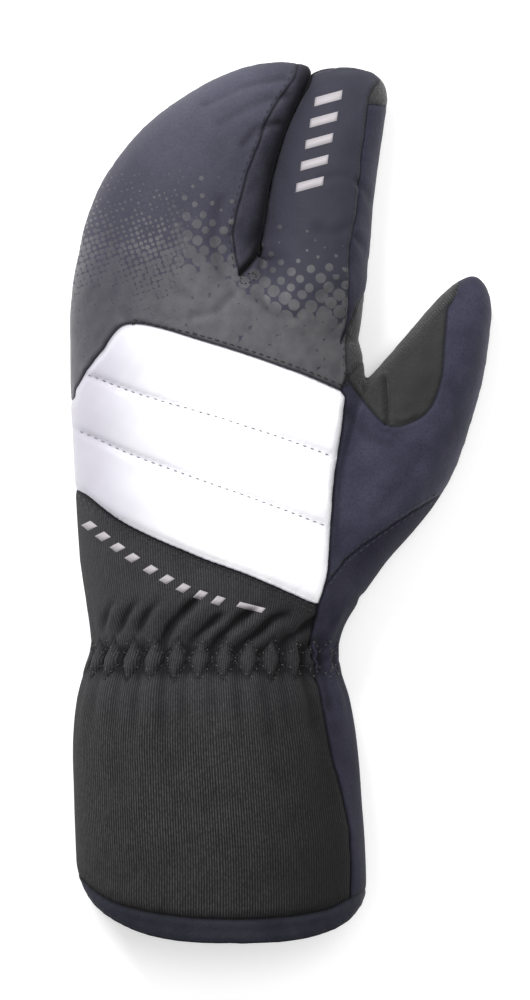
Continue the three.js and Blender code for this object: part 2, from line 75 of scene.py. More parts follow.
# Skin and cloth
VOXEL = 0.95
SMOOTHING = 9
ROW_SPACING = 1.6
THINNEST = 0.3
CLOTH_THICKNESS = 2.4
# Painted shade in hollows: rounds of smoothing that find them, sinking in mm for full shade, and the shade's
# colour
HOLLOW_ROUNDS = 45
HOLLOW_DEPTH = 0.9
HOLLOW_SHADE_COLOUR = (0.004, 0.004, 0.005)
SHEEN_ROUGHNESS = 0.45
RIB_PITCH = 0.86
THREAD_TIP = 0.45
STEEPEST = 0.12

# Sections: along, left, right, under, top, as in the part's source
HAND_SECTIONS = [
    (-0.02, 0.021, 1.017, 0, 1.17),
    (0.083, 0.021, 1.017, 0, 1.16),
    (0.16, 0.014, 1.003, 0, 1.12),
    (0.226, 0.01, 0.986, 0, 1.06),
    (0.274, 0.024, 0.962, 0, 1.0),
    (0.306, 0.048, 0.933, 0, 0.94),
    (0.331, 0.072, 0.924, 0, 0.92),
    (0.353, 0.069, 0.938, 0, 0.94),
    (0.385, 0.055, 0.979, 0, 0.98),
    (0.433, 0.034, 0.993, 0, 1.01),
    (0.481, 0.024, 1.003, 0, 1.02),
    (0.544, 0.014, 1.014, 0, 1.01),
    (0.615, 0.003, 1.017, 0, 1.0),
    (0.677, 0.0, 0.997, 0, 0.98),
    (0.711, 0.0, 0.935, 0, 0.965),
    (0.74, 0.007, 0.801, 0, 0.945),
    (0.762, 0.017, 0.694, 0, 0.925),
    (0.783, 0.031, 0.649, 0, 0.905),
    (0.815, 0.052, 0.662, 0, 0.87),
    (0.863, 0.11, 0.684, 0, 0.8),
    (0.91, 0.21, 0.725, 0.01, 0.7),
    (0.942, 0.313, 0.763, 0.03, 0.61),
    (0.974, 0.46, 0.811, 0.09, 0.49),
    (0.99, 0.567, 0.821, 0.16, 0.4),
    (0.997, 0.643, 0.794, 0.21, 0.34),
    (1.0, 0.718, 0.718, 0.28, 0.28),
]
INDEX_SECTIONS = [
    (0.669, 0.041, 0.983, 0.01, 0.96),
    (0.7, 0.223, 1.0, 0, 0.93),
    (0.728, 0.433, 1.01, 0, 0.88),
    (0.751, 0.577, 1.021, 0, 0.82),
    (0.769, 0.65, 1.024, 0, 0.78),
    (0.791, 0.656, 1.033, 0, 0.75),
    (0.831, 0.679, 1.041, 0, 0.72),
    (0.878, 0.708, 1.058, 0, 0.68),
    (0.926, 0.754, 1.079, 0.01, 0.61),
    (0.958, 0.799, 1.092, 0.05, 0.53),
    (0.974, 0.817, 1.082, 0.1, 0.46),
    (0.984, 0.832, 1.056, 0.16, 0.4),
    (0.989, 0.858, 1.032, 0.21, 0.35),
    (0.992, 0.888, 0.998, 0.24, 0.32),
    (0.994, 0.95, 0.95, 0.28, 0.28),
]
THUMB_SECTIONS = [
    (0.0, -0.265, 0.46, 0.02, 0.8),
    (0.055, -0.292, 0.544, 0, 0.88),
    (0.165, -0.354, 0.584, 0, 0.96),
    (0.272, -0.398, 0.646, 0, 1.0),
    (0.373, -0.442, 0.688, 0, 1.0),
    (0.468, -0.442, 0.69, 0, 0.97),
    (0.552, -0.412, 0.649, 0, 0.94),
    (0.636, -0.36, 0.588, 0, 0.9),
    (0.717, -0.316, 0.522, 0, 0.86),
    (0.795, -0.276, 0.441, 0.01, 0.8),
    (0.87, -0.233, 0.344, 0.05, 0.73),
    (0.934, -0.181, 0.248, 0.12, 0.63),
    (0.971, -0.128, 0.164, 0.19, 0.54),
    (0.994, -0.071, 0.062, 0.27, 0.45),
    (1.0, -0.018, -0.018, 0.36, 0.36),
]

# Seam lines seen from above: (across, along) in shares of the hand's width and the mitt's length
REFLECTIVE_TOP = [
    (-0.2, 0.585), (-0.01, 0.6115), (0.018, 0.6275), (0.05, 0.646), (0.107, 0.67), (0.21, 0.701),
    (0.491, 0.678), (0.773, 0.647), (0.934, 0.6255),
]
REFLECTIVE_SIDE = [
    (0.944, 0.621), (0.947, 0.609), (0.916, 0.532), (0.896, 0.447), (0.887, 0.415), (0.856, 0.383),
]
PANEL_CORNER = (0.93, 0.6255)
REFLECTIVE_LOW = [
    (0.845, 0.383), (0.622, 0.415), (0.426, 0.439), (0.189, 0.4745), (0.021, 0.5125), (-0.2, 0.53),
]
QUILT_LINES = [
    [(-0.1, 0.66), (0.048, 0.645), (0.247, 0.62), (0.526, 0.593), (0.808, 0.562), (0.97, 0.541)],
    [(-0.1, 0.592), (0.027, 0.58), (0.21, 0.553), (0.457, 0.523), (0.735, 0.49), (0.95, 0.462)],
]
CUFF_SIDE = [
    (0.856, 0.383), (0.83, 0.33), (0.866, 0.282), (0.904, 0.216), (0.945, 0.16), (0.965, 0.1),
    (0.97, -0.05),
]
HEM_SEAM = [
    (-0.3, 0.17), (-0.034, 0.101), (0.05, 0.067), (0.168, 0.043), (0.378, 0.03), (0.619, 0.027),
    (0.825, 0.033), (0.96, 0.049), (1.3, 0.12),
]
POCKET_SIDE = [
    (0.79, 1.05), (0.78, 0.99), (0.755, 0.972), (0.691, 0.94), (0.643, 0.898), (0.605, 0.866),
    (0.564, 0.81), (0.569, 0.785), (0.578, 0.762),
]
SPLIT_LINE = [
    (0.586, 0.756), (0.622, 0.768), (0.652, 0.783), (0.66, 0.806), (0.677, 0.839), (0.711, 0.887),
    (0.756, 0.932), (0.801, 0.96), (0.832, 0.983), (0.86, 1.05),
]
INDEX_SIDE = [
    (1.12, 1.05), (1.076, 0.986), (1.038, 0.966), (1.02, 0.94), (1.0, 0.887), (0.983, 0.826), (0.962, 0.786),
    (0.955, 0.708), (0.948, 0.67), (0.952, 0.639),
]
PALM_WRAP = [(1.2, 0.81), (1.01, 0.733), (0.973, 0.708), (0.93, 0.678)]
THUMB_PATCH = [
    (1.4, 0.82), (1.323, 0.735), (1.296, 0.717), (1.285, 0.68), (1.275, 0.64), (1.24, 0.607),
    (1.18, 0.591), (1.089, 0.586), (1.003, 0.616), (0.952, 0.639),
]
THUMB_BASE = [
    (0.88, 0.405), (0.942, 0.431), (1.01, 0.45), (1.127, 0.478), (1.275, 0.507), (1.5, 0.54),
]
THUMB_EDGE = [(1.045, 0.646), (1.10, 0.664), (1.16, 0.686), (1.25, 0.717), (1.32, 0.741)]


# Quilting, wrist gathers and folds
QUILT_PUFF = 1.5
QUILT_FULLNESS = 0.6
QUILT_GROOVE = 1.0
QUILT_GROOVE_WIDTH = 1.1
QUILT_EDGE = 3.0
QUILT_RISE = (12, 20)
ELASTIC_ALONG = 0.3205
ELASTIC_HALF = 7.2
PUFF_COUNT = 27
PUFF_SHIFT = 0.377
PUFF_SPREAD = 0.95
PUFF_HEIGHT = 2.3
PINCH_DEPTH = 0.9
PINCH_SHADE = 0.9
ZIGZAG_WIDTH = 1.9
ZIGZAG_DEPTH = 0.6
ZIGZAG_SHADE = 0.4
ELASTIC_DEPTH = 0.9
RIBS_END = 0.83
RIBS_FADE = 4.0
WOBBLE_HEIGHT = 0.5
WOBBLE_COUNT = 5
WOBBLE_START = 1.3
FOLD_BOW = 0.012
# Gathers that fan out from the elastic: place above it and reach in mm, and strength
FANS = [(-12, 13, 1.0), (10, 9, 0.8)]
GATHER_HEIGHT = 0.45
WIDE_GATHER_HEIGHT = 0.35
# Slack folds of the cuff below the gathers: place and reach in mm, height and how many round it
SLACK = (-30, 22, 0.5, 9)
# Ridge beside a fold or crease: share of its depth, and place and width as shares of its width
FOLD_RIDGE = (0.45, 1.9, 1.3)
CREASE_RIDGE = (0.4, 2.1, 1.2)
WRIST_FOLDS = [
    # across, along, length in mm, slant in degrees, depth in mm, width in mm
    (0.12, 0.368, 13, 66, 1.0, 1.3),
    (0.185, 0.366, 15, 60, 1.3, 1.4),
    (0.26, 0.369, 15, 54, 1.4, 1.5),
    (0.365, 0.364, 21, 50, 2.6, 1.8),
    (0.47, 0.357, 14, 41, 2.5, 1.6),
    (0.56, 0.359, 19, 40, 2.8, 1.8),
    (0.665, 0.357, 18, 37, 2.5, 1.7),
    (0.785, 0.352, 15, 39, 1.8, 1.5),
    (0.62, 0.372, 9, 36, 1.0, 1.3),
    (0.41, 0.381, 8, 44, 1.0, 1.3),
]
CREASES = [
    # plan line, depth in mm, width in mm
    ([(0.588, 0.757), (0.622, 0.769), (0.655, 0.786)], 1.1, 0.9),
    ([(1.08, 0.636), (1.086, 0.61), (1.087, 0.589)], 1.7, 0.9),
    ([(1.087, 0.588), (1.134, 0.588), (1.186, 0.594)], 0.7, 0.8),
    ([(0.46, 0.95), (0.60, 0.972), (0.74, 0.982)], 0.55, 1.5),
    ([(0.52, 0.93), (0.64, 0.952), (0.745, 0.962)], 0.45, 1.7),
    ([(0.60, 0.905), (0.66, 0.925), (0.72, 0.93)], 0.5, 1.4),
    ([(0.52, 0.84), (0.50, 0.80), (0.52, 0.76)], 0.45, 2.2),
    ([(0.86, 0.865), (0.93, 0.87), (0.985, 0.864)], 0.35, 1.5),
    ([(0.84, 0.81), (0.90, 0.805), (0.955, 0.81)], 0.35, 1.7),
    ([(0.80, 0.74), (0.86, 0.735), (0.93, 0.745)], 0.35, 1.8),
    ([(0.64, 0.735), (0.70, 0.715), (0.78, 0.71)], 0.45, 1.6),
    ([(0.56, 0.735), (0.50, 0.715), (0.42, 0.71)], 0.35, 1.6),
    ([(0.985, 0.80), (1.01, 0.79), (1.03, 0.775)], 0.6, 1.2),
    ([(0.99, 0.86), (1.02, 0.85), (1.04, 0.835)], 0.5, 1.3),
    ([(0.83, 0.323), (0.88, 0.32), (0.925, 0.319)], 1.1, 0.9),
    ([(0.845, 0.355), (0.87, 0.33), (0.89, 0.30), (0.90, 0.27)], 0.5, 2.0),
    ([(0.90, 0.36), (0.90, 0.335)], 0.4, 1.6),
    ([(0.94, 0.24), (0.965, 0.19), (0.985, 0.14)], 0.3, 2.2),
    ([(1.20, 0.55), (1.14, 0.52), (1.05, 0.485)], 0.5, 2.4),
    ([(0.96, 0.60), (1.02, 0.575), (1.10, 0.565)], 0.4, 2.2),
]
# The hollow where the thumb's base leaves the wrist is filled out a little
WRIST_FILLET = (25.3, -33.3)
FILLET_DEPTH = 1.1
FILLET_REACH = 4.5
# Irregular swells of the padding: height and size in mm, and seed
SWELLS = [(0.45, 46, 3), (0.14, 15, 5)]
# The relief fades out where the mitt lies on the floor: level and length in mm
RELIEF_RISE = (2.0, 8.0)
LYING = 3.0
# Puckers of the turned edges: height, size in mm and seed; then their ripple and its reach in mm
PUCKERS = (0.5, 6.5, 11)
RIPPLE_HEIGHT = 0.22
RIPPLE_REACH = 3.5
FOLDED_EDGE = 1.0
SIDE_GROOVE = 0.35


def spot(across, along):
    """A plan point in millimetres from shares across and along."""
    return (LEFT_EDGE + across * HAND_WIDTH, HEM_END + along * MITT_LENGTH)


def corners(*points):
    """Plan points in millimetres, to be joined by straight lines."""
    return np.array([spot(*p) for p in points])


def smooth_line(points, step=1.0):
    """A Catmull-Rom line through plan points given as shares, in millimetres."""
    knots = corners(*points)
    padded = np.vstack([2 * knots[0] - knots[1], knots, 2 * knots[-1] - knots[-2]])
    out = []
    for i in range(1, len(padded) - 2):
        a, b, c, d = padded[i - 1 : i + 3]
        count = max(2, int(np.linalg.norm(c - b) / step))
        for t in np.linspace(0, 1, count, endpoint=False):
            curve = 2 * b + (c - a) * t + (2 * a - 5 * b + 4 * c - d) * t**2
            out.append(0.5 * (curve + (3 * b - a - 3 * c + d) * t**3))
    out.append(knots[-1])
    return np.array(out)


def run_length(points):
    """The distance along a line of points, from its first one."""
    return np.concatenate([[0], np.cumsum(np.linalg.norm(np.diff(points, axis=0), axis=1))])


def directions(line):
    """Unit directions along a line of points."""
    along = np.gradient(line, axis=0)
    return along / np.maximum(np.linalg.norm(along, axis=1), 1e-9)[:, None]


def heading(degrees):
    """The cosine and sine of an angle."""
    return math.cos(math.radians(degrees)), math.sin(math.radians(degrees))


def turned(x, y, degrees, lengthways, sideways):
    """The plan point so far from another, lengthways and sideways of a direction."""
    c, s = heading(degrees)
    return x + lengthways * c - sideways * s, y + lengthways * s + sideways * c


def blend(a, b, share):
    return a * (1 - share) + b * share


def ramp(value, start, length):
    """0 up to the start, 1 from the length after it, and straight between."""
    return np.clip((value - start) / length, 0, 1)


def bell(distance, width, power=2):
    """1 at no distance, fading to nothing over a few widths."""
    return np.exp(-((distance / width) ** power))


def add(name, content):
    """An object with its mesh, light or camera, linked to the scene."""
    obj = bpy.data.objects.new(name, content)
    bpy.context.scene.collection.objects.link(obj)
    return obj


def read(rows, label, width, kind=np.float64):
    """One value of a mesh's vertices, edges or triangles, as rows of so many numbers."""
    values = np.empty(len(rows) * width, kind)
    rows.foreach_get(label, values)
    return values.reshape(-1, width)


# Forms


def fine_rows(table, scales, spacing):
    """Rows of a section table in millimetres, smoothed and no further apart than spacing."""
    real = np.array(table, float) * scales
    place = run_length(real)
    after = np.minimum(np.arange(len(real)) + 1, len(real) - 1)
    before = np.maximum(np.arange(len(real)) - 1, 0)
    slopes = (real[after] - real[before]) / (place[after] - place[before])[:, None]
    rows = []
    for i in range(len(real) - 1):
        span = place[i + 1] - place[i]
        count = max(1, round(span / spacing))
        for t in np.arange(count) / count:
            start = (2 * t**3 - 3 * t**2 + 1) * real[i] + (t**3 - 2 * t**2 + t) * span * slopes[i]
            end = (t**3 - t**2) * span * slopes[i + 1]
            rows.append(start + (3 * t**2 - 2 * t**3) * real[i + 1] + end)
    rows.append(real[-1])
    return np.array(rows)


def section_points(row, around):
    """Across and height of the points round one section."""
    _, left, right, under, top = row
    turn = 2 * np.pi * np.arange(around) / around
    c, s = np.cos(turn), np.sin(turn)
    power = np.where(s > 0, BACK_ROUNDNESS, PALM_ROUNDNESS)
    middle = under + (top - under) * WIDEST_LEVEL
    rise = np.where(s > 0, top - middle, middle - under)
    across = (left + right) / 2 + (right - left) / 2 * np.sign(c) * np.abs(c) ** (2 / power)
    height = middle + rise * np.sign(s) * np.abs(s) ** (2 / power)
    return across, np.maximum(height, 0)


def pressed(table, height):
    """Sections whose undersides are pressed down where they lie near the floor."""
    press = REST_PRESS / height
    return [(a, l, r, u - press * max(0, 1 - u / PRESS_FADE), t) for a, l, r, u, t in table]


def loft(table, scales, around, place):
    """A closed form through its sections, as points and faces."""
    rows = fine_rows(table, scales, ROW_SPACING)
    rows = rows[(rows[:, 2] - rows[:, 1] > THINNEST) & (rows[:, 4] - rows[:, 3] > THINNEST)]
    points = np.concatenate([place(row[0], *section_points(row, around)) for row in rows])
    k = np.arange(around)
    n = (k + 1) % around
    faces = []
    for low in np.arange(len(rows) - 1) * around:
        faces += np.stack([low + k, low + around + k, low + around + n, low + n], 1).tolist()
    faces.append(list(range(around)))
    faces.append([len(points) - around + v for v in reversed(range(around))])
    return points, faces


def place_hand(along, across, height):
    along = np.full_like(across, along)
    return np.stack([across + LEFT_EDGE, along + HEM_END, height], 1)


def place_thumb(along, across, height):
    root = spot(*THUMB_ROOT)
    out = along - THUMB_BACK * THUMB_LENGTH
    c, s = heading(THUMB_LEAN)
    return np.stack([root[0] + out * s + across * c, root[1] + out * c - across * s, height], 1)


split_curve = smooth_line(SPLIT_LINE)
SPLIT_BOTTOM = spot(0, 0.776)[1]
SPLIT_OPENING = 3.2
SPLIT_OPENING_LENGTH = 6.0
SPLIT_CLOSING = 0.75
SPLIT_CLOSING_LENGTH = 5.0
SPLIT_CLOSING_REACH = 7.0


def split_shift(y):
    """How far the index finger stands aside while the skin is joined, so the split stays open."""
    t = ramp(y, SPLIT_BOTTOM, SPLIT_OPENING_LENGTH)
    return SPLIT_OPENING * t * t * (3 - 2 * t)


def split_x(y):
    return np.interp(y, split_curve[:, 1], split_curve[:, 0])


def joined_skin():
    """The three forms joined into one closed skin of even triangles."""
    forms = [
        loft(pressed(HAND_SECTIONS, HAND_HEIGHT), HAND_SCALE, 150, place_hand),
        loft(pressed(INDEX_SECTIONS, HAND_HEIGHT), HAND_SCALE, 110, place_hand),
        loft(pressed(THUMB_SECTIONS, THUMB_HEIGHT), THUMB_SCALE, 110, place_thumb),
    ]
    index = forms[1][0]
    index[:, 0] += split_shift(index[:, 1])
    points, faces, start = [], [], 0
    for form_points, form_faces in forms:
        points.append(form_points)
        faces += [[v + start for v in face] for face in form_faces]
        start += len(form_points)
    mesh = bpy.data.meshes.new("joined")
    mesh.from_pydata((np.concatenate(points) / 1000).tolist(), [], faces)
    obj = add("joined", mesh)
    remesh = obj.modifiers.new("skin", "REMESH")
    remesh.mode = "VOXEL"
    remesh.voxel_size = VOXEL / 1000
    evaluated = obj.evaluated_get(bpy.context.evaluated_depsgraph_get())
    done = evaluated.to_mesh()
    done.calc_loop_triangles()
    points = read(done.vertices, "co", 3)
    tris = read(done.loop_triangles, "vertices", 3, np.int32)
    evaluated.to_mesh_clear()
    bpy.data.objects.remove(obj)
    bpy.data.meshes.remove(mesh)
    return points * 1000, tris


def sides_of(tris):
    """The three sides of each triangle, as pairs of points in the direction in which it runs."""
    return np.concatenate([tris[:, [0, 1]], tris[:, [1, 2]], tris[:, [2, 0]]])


def summed(index, weights, count):
    """For each of so many points, the sum of the rows of weights that belong to it."""
    return np.stack([np.bincount(index, weights=w, minlength=count) for w in weights.T], 1)


def relaxed(values, edges, rounds, extra=0):
    """Values smoothed among their neighbours, in and out by turns so that nothing shrinks.

    Extra rounds then flatten them.
    """
    count = len(values)
    both = np.concatenate([edges, edges[:, ::-1]])
    degree = np.bincount(both[:, 0], minlength=count)
    for weight in [0.5, -0.52] * rounds + [0.5] * extra:
        mean = summed(both[:, 0], values[both[:, 1]], count)
        values = values + weight * (mean / np.maximum(degree, 1)[:, None] - values)
    return values


def normals_of(points, tris):
    a, b, c = (points[tris[:, k]] for k in range(3))
    flat = np.cross(b - a, c - a)
    total = sum(summed(tris[:, k], flat, len(points)) for k in range(3))
    return total / np.maximum(np.linalg.norm(total, axis=1), 1e-9)[:, None]


# Regions of the panels, as signed distances that are positive inside


def line_distance(x, y, line):
    """Distance in plan from points to an open line."""
    best = np.full(len(x), 1e9)
    for (x0, y0), (x1, y1) in zip(line[:-1], line[1:]):
        dx, dy = x1 - x0, y1 - y0
        t = np.clip(((x - x0) * dx + (y - y0) * dy) / max(dx * dx + dy * dy, 1e-9), 0, 1)
        best = np.minimum(best, (x - x0 - t * dx) ** 2 + (y - y0 - t * dy) ** 2)
    return np.sqrt(best)


def polygon_distance(x, y, polygon):
    """Signed distance in plan from points to a closed outline, positive inside."""
    inside = np.zeros(len(x), bool)
    closed = np.vstack([polygon, polygon[:1]])
    for (x0, y0), (x1, y1) in zip(closed[:-1], closed[1:]):
        if y0 != y1:
            crosses = (y0 > y) != (y1 > y)
            inside ^= crosses & (x < (x1 - x0) * (y - y0) / (y1 - y0) + x0)
    return np.where(inside, 1, -1) * line_distance(x, y, closed)


def block(base, polygon, low, high=None):
    """Signed distance to the space over an outline, between two levels."""
    field = np.minimum(polygon_distance(base[:, 0], base[:, 1], polygon), base[:, 2] - low)
    return field if high is None else np.minimum(field, high - base[:, 2])


def hem_arc():
    """The rounded lower edge of the cuff."""
    turn = np.pi + np.pi * np.linspace(0, 1, 240)
    c, s = np.cos(turn), np.sin(turn)
    power = np.where(c < 0, *HEM_ROUNDNESS)
    across = HEM_MIDDLE + HEM_REACH * np.sign(c) * np.abs(c) ** (2 / power)
    along = HEM_DEPTH * (1 - np.abs(s) ** (2 / power))
    return np.array([spot(a, b) for a, b in zip(across, along)])


def outline(*parts):
    """A plan outline of smooth lines given as lists, corners as tuples and made lines as arrays."""
    made = {list: smooth_line, tuple: lambda part: corners(*part), np.ndarray: np.asarray}
    return np.vstack([made[type(part)](part) for part in parts])


UNDER_ALL = -10
GUSSET_TOP = 15.0
WHITE_OUTLINE = outline(REFLECTIVE_TOP, REFLECTIVE_SIDE, REFLECTIVE_LOW)
THUMB_CROTCH = ((1.0, 0.655), (1.03, 0.665), (1.06, 0.69))
THUMB_OUTER = (
    (0.8, 0.6), PANEL_CORNER, (0.952, 0.639), *THUMB_CROTCH, (1.4, 0.9), (1.8, 0.7),
)
SPLIT_RIGHT = ((1.0, 1.05), (0.86, 0.96), (0.78, 0.86), (0.74, 0.748))
thumb_seam = smooth_line(THUMB_BASE)
wrap_seam = smooth_line(PALM_WRAP)

# Panels in the order of their cuts, each with its spaces: outline, lowest and perhaps highest level
PANELS = [
    ("hem_band", [(outline(HEM_SEAM, ((1.3, -0.2), (-0.3, -0.2))), UNDER_ALL)]),
    ("reflective_panel", [(WHITE_OUTLINE, SIDE_SEAM)]),
    ("cuff_back", [
        (outline(((-0.2, 0.54), (0.2, 0.5), (0.7, 0.43)), CUFF_SIDE, ((-0.2, -0.05),)), SIDE_SEAM),
    ]),
    ("thumb_patch", [(outline(THUMB_PATCH, THUMB_CROTCH), SIDE_SEAM)]),
    ("split_gusset", [
        (outline(POCKET_SIDE, split_curve), GUSSET_SEAM),
        (outline(split_curve, SPLIT_RIGHT), GUSSET_SEAM, GUSSET_TOP),
    ]),
    ("index_side", [
        (outline(INDEX_SIDE[3:8], wrap_seam[::-1], ((1.3, 0.944), (1.024, 0.952))), GUSSET_SEAM),
    ]),
    ("thumb_back", [(outline(THUMB_OUTER, thumb_seam[::-1]), SIDE_SEAM)]),
    ("back_panel", [
        (outline(((-0.2, 0.5), (-0.2, 1.05)), INDEX_SIDE, (PANEL_CORNER, (0.8, 0.6))), SIDE_SEAM),
    ]),
    ("cuff_palm", [(outline(((-0.3, -0.2), (-0.3, 0.405)), thumb_seam, ((1.5, -0.2),)), UNDER_ALL)]),
]


def split_by(data, tris, field):
    """Cuts triangles where the field changes sign. Returns the data and both sets of triangles."""
    field = np.where(np.abs(field) < 1e-3, 1e-3, field)
    side = field > 0
    tri_side = side[tris]
    mixed = tri_side.any(1) & ~tri_side.all(1)
    kept_in = tris[tri_side.all(1)]
    kept_out = tris[~tri_side.any(1)]
    cut = tris[mixed]
    if not len(cut):
        return data, kept_in, kept_out
    sides = side[cut]
    lone_is_in = sides.sum(1) == 1
    lone = np.where(lone_is_in, np.argmax(sides, 1), np.argmin(sides, 1))
    rows = np.arange(len(cut))
    p, q, r = (cut[rows, (lone + k) % 3] for k in range(3))
    pairs = np.sort(np.concatenate([np.stack([p, q], 1), np.stack([p, r], 1)]), axis=1)
    unique, back = np.unique(pairs, axis=0, return_inverse=True)
    back = back.reshape(-1)
    fa, fb = field[unique[:, 0]], field[unique[:, 1]]
    fresh = blend(data[unique[:, 0]], data[unique[:, 1]], (fa / (fa - fb))[:, None])
    m1 = len(data) + back[: len(cut)]
    m2 = len(data) + back[len(cut) :]
    tips = np.stack([p, m1, m2], 1)
    rests = np.concatenate([np.stack([m1, q, r], 1), np.stack([m1, r, m2], 1)])
    twice = np.concatenate([lone_is_in, lone_is_in])
    inside = np.concatenate([kept_in, tips[lone_is_in], rests[~twice]])
    outside = np.concatenate([kept_out, tips[~lone_is_in], rests[twice]])
    return np.concatenate([data, fresh]), inside, outside


# Relief


def height_of_line(line, x):
    order = np.argsort(line[:, 0])
    return np.interp(x, line[order, 0], line[order, 1])


def quilt_relief(base):
    """Three puffed channels across the back of the hand with stitched valleys between."""
    x, y = base[:, 0], base[:, 1]
    lines = [REFLECTIVE_LOW, *reversed(QUILT_LINES), REFLECTIVE_TOP]
    levels = [height_of_line(smooth_line(line), x) for line in lines]
    relief = np.zeros(len(x))
    for low, high in zip(levels[:-1], levels[1:]):
        t = ramp(y, low, np.maximum(high - low, 1.0))
        relief = np.maximum(relief, QUILT_PUFF * np.sin(np.pi * t) ** QUILT_FULLNESS)
    for level in levels[1:-1]:
        relief -= QUILT_GROOVE * bell(y - level, QUILT_GROOVE_WIDTH)
    edge = ramp(polygon_distance(x, y, WHITE_OUTLINE), 0, QUILT_EDGE)
    return relief * edge * ramp(base[:, 2], *QUILT_RISE)


def girth_share(base):
    """Place round the cuff, as a share of its girth."""
    rows = fine_rows(pressed(HAND_SECTIONS, HAND_HEIGHT), HAND_SCALE, 3.0)[:-3]
    around = 180
    table = []
    for row in rows:
        across, height = section_points(row, around)
        step = np.hypot(np.diff(across, append=across[0]), np.diff(height, append=height[0]))
        table.append(np.concatenate([[0], np.cumsum(step)]))
    table = np.array(table)
    along = np.clip(base[:, 1] - HEM_END, rows[0, 0], rows[-1, 0])
    position = np.interp(along, rows[:, 0], np.arange(len(rows)))
    low = np.minimum(position.astype(int), len(rows) - 2)
    share = position - low
    _, left, right, under, top = blend(rows[low], rows[low + 1], share[:, None]).T
    middle = under + (top - under) * WIDEST_LEVEL
    x = (base[:, 0] - LEFT_EDGE - (left + right) / 2) / ((right - left) / 2)
    up = base[:, 2] > middle
    z = np.clip((base[:, 2] - middle) / np.where(up, top - middle, middle - under), -1, 1)
    power = np.where(up, BACK_ROUNDNESS, PALM_ROUNDNESS)
    c = np.sign(x) * np.minimum(np.abs(x), 1.0) ** (power / 2)
    s = np.sign(z) * np.abs(z) ** (power / 2)
    turn = np.mod(np.arctan2(s, c), 2 * np.pi) / (2 * np.pi) * around
    k = np.minimum(turn.astype(int), around - 1)
    lower, upper = (blend(table[row, k], table[row, k + 1], turn - k) for row in (low, low + 1))
    return blend(lower, upper, share) / blend(table[low, -1], table[low + 1, -1], share)


def waves(x, y, scale, seed):
    """Smooth irregular waves in plan, about one unit high."""
    local = np.random.default_rng(seed)
    total = np.zeros(len(x))
    for octave in range(3):
        size = scale / (1.7**octave)
        for _ in range(4):
            angle = local.uniform(0, 2 * np.pi)
            phase = local.uniform(0, 2 * np.pi)
            turn = (x * np.cos(angle) + y * np.sin(angle)) * 2 * np.pi / size + phase
            total += np.sin(turn) / (4 * 1.5**octave)
    return total


def puff_phase(girth):
    return (girth * PUFF_COUNT + PUFF_SHIFT) * 2 * np.pi


def puff_place(phase):
    """1 at the middle of each elastic puff and 0 at the pinches between."""
    return np.abs(np.mod(phase / np.pi + 1, 2) - 1) * -1 + 1


def wrist_relief(base, girth):
    """Elastic puffs round the wrist, gathers that fan out from them, and slanting folds.

    Returns the relief, and how much painted shade lies in the pinches and the sunk zigzag.
    """
    x, y = base[:, 0], base[:, 1]
    up = y - spot(0, ELASTIC_ALONG)[1]
    away = up / ELASTIC_HALF
    phase = puff_phase(girth)
    wobble = WOBBLE_HEIGHT * np.sin(girth * 2 * np.pi * WOBBLE_COUNT + WOBBLE_START)
    puff = puff_place(phase)
    lens = np.clip(1 - (np.abs(away) + PUFF_SPREAD * (1 - puff)) ** 2, 0, 1)
    beside = (np.abs(away) - PUFF_SPREAD * puff) * ELASTIC_HALF / ZIGZAG_WIDTH
    sunk = bell(beside, 0.75) * (np.abs(away) < 1.1)
    pinch = bell(away, 0.5) * bell(puff, 0.3)
    ribbed = 1 - 0.65 * ramp(x, spot(RIBS_END, 0)[0], RIBS_FADE)
    puffs = PUFF_HEIGHT * lens**0.8 - ZIGZAG_DEPTH * sunk - PINCH_DEPTH * pinch
    relief = ribbed * puffs - ELASTIC_DEPTH * np.exp(-(away**2) * 1.2)
    # Painted shade in the pinches and along the sunk zigzag
    dark = ribbed * (PINCH_SHADE * pinch + ZIGZAG_SHADE * sunk)
    fan = sum(strength * bell(up - place, reach) for place, reach, strength in FANS)
    gathers = GATHER_HEIGHT * fan * np.cos(phase + wobble)
    relief += gathers + WIDE_GATHER_HEIGHT * fan * np.cos(phase * 0.5 + 2 * wobble)
    place, reach, height, count = SLACK
    relief += height * bell(up - place, reach) * np.sin(girth * 2 * np.pi * count + 2 * wobble)
    share, aside, spread = FOLD_RIDGE
    for across, along, length, slant, depth, width in WRIST_FOLDS:
        cx, cy = spot(across, along)
        c, s = heading(slant)
        lengthways = (x - cx) * c + (y - cy) * s
        sideways = (y - cy) * c - (x - cx) * s
        sideways = sideways + FOLD_BOW * lengthways**2
        ends = bell(lengthways, length / 2, 4)
        relief -= depth * ends * bell(sideways, width)
        relief += share * depth * ends * bell(sideways + aside * width, spread * width)
    return relief, dark


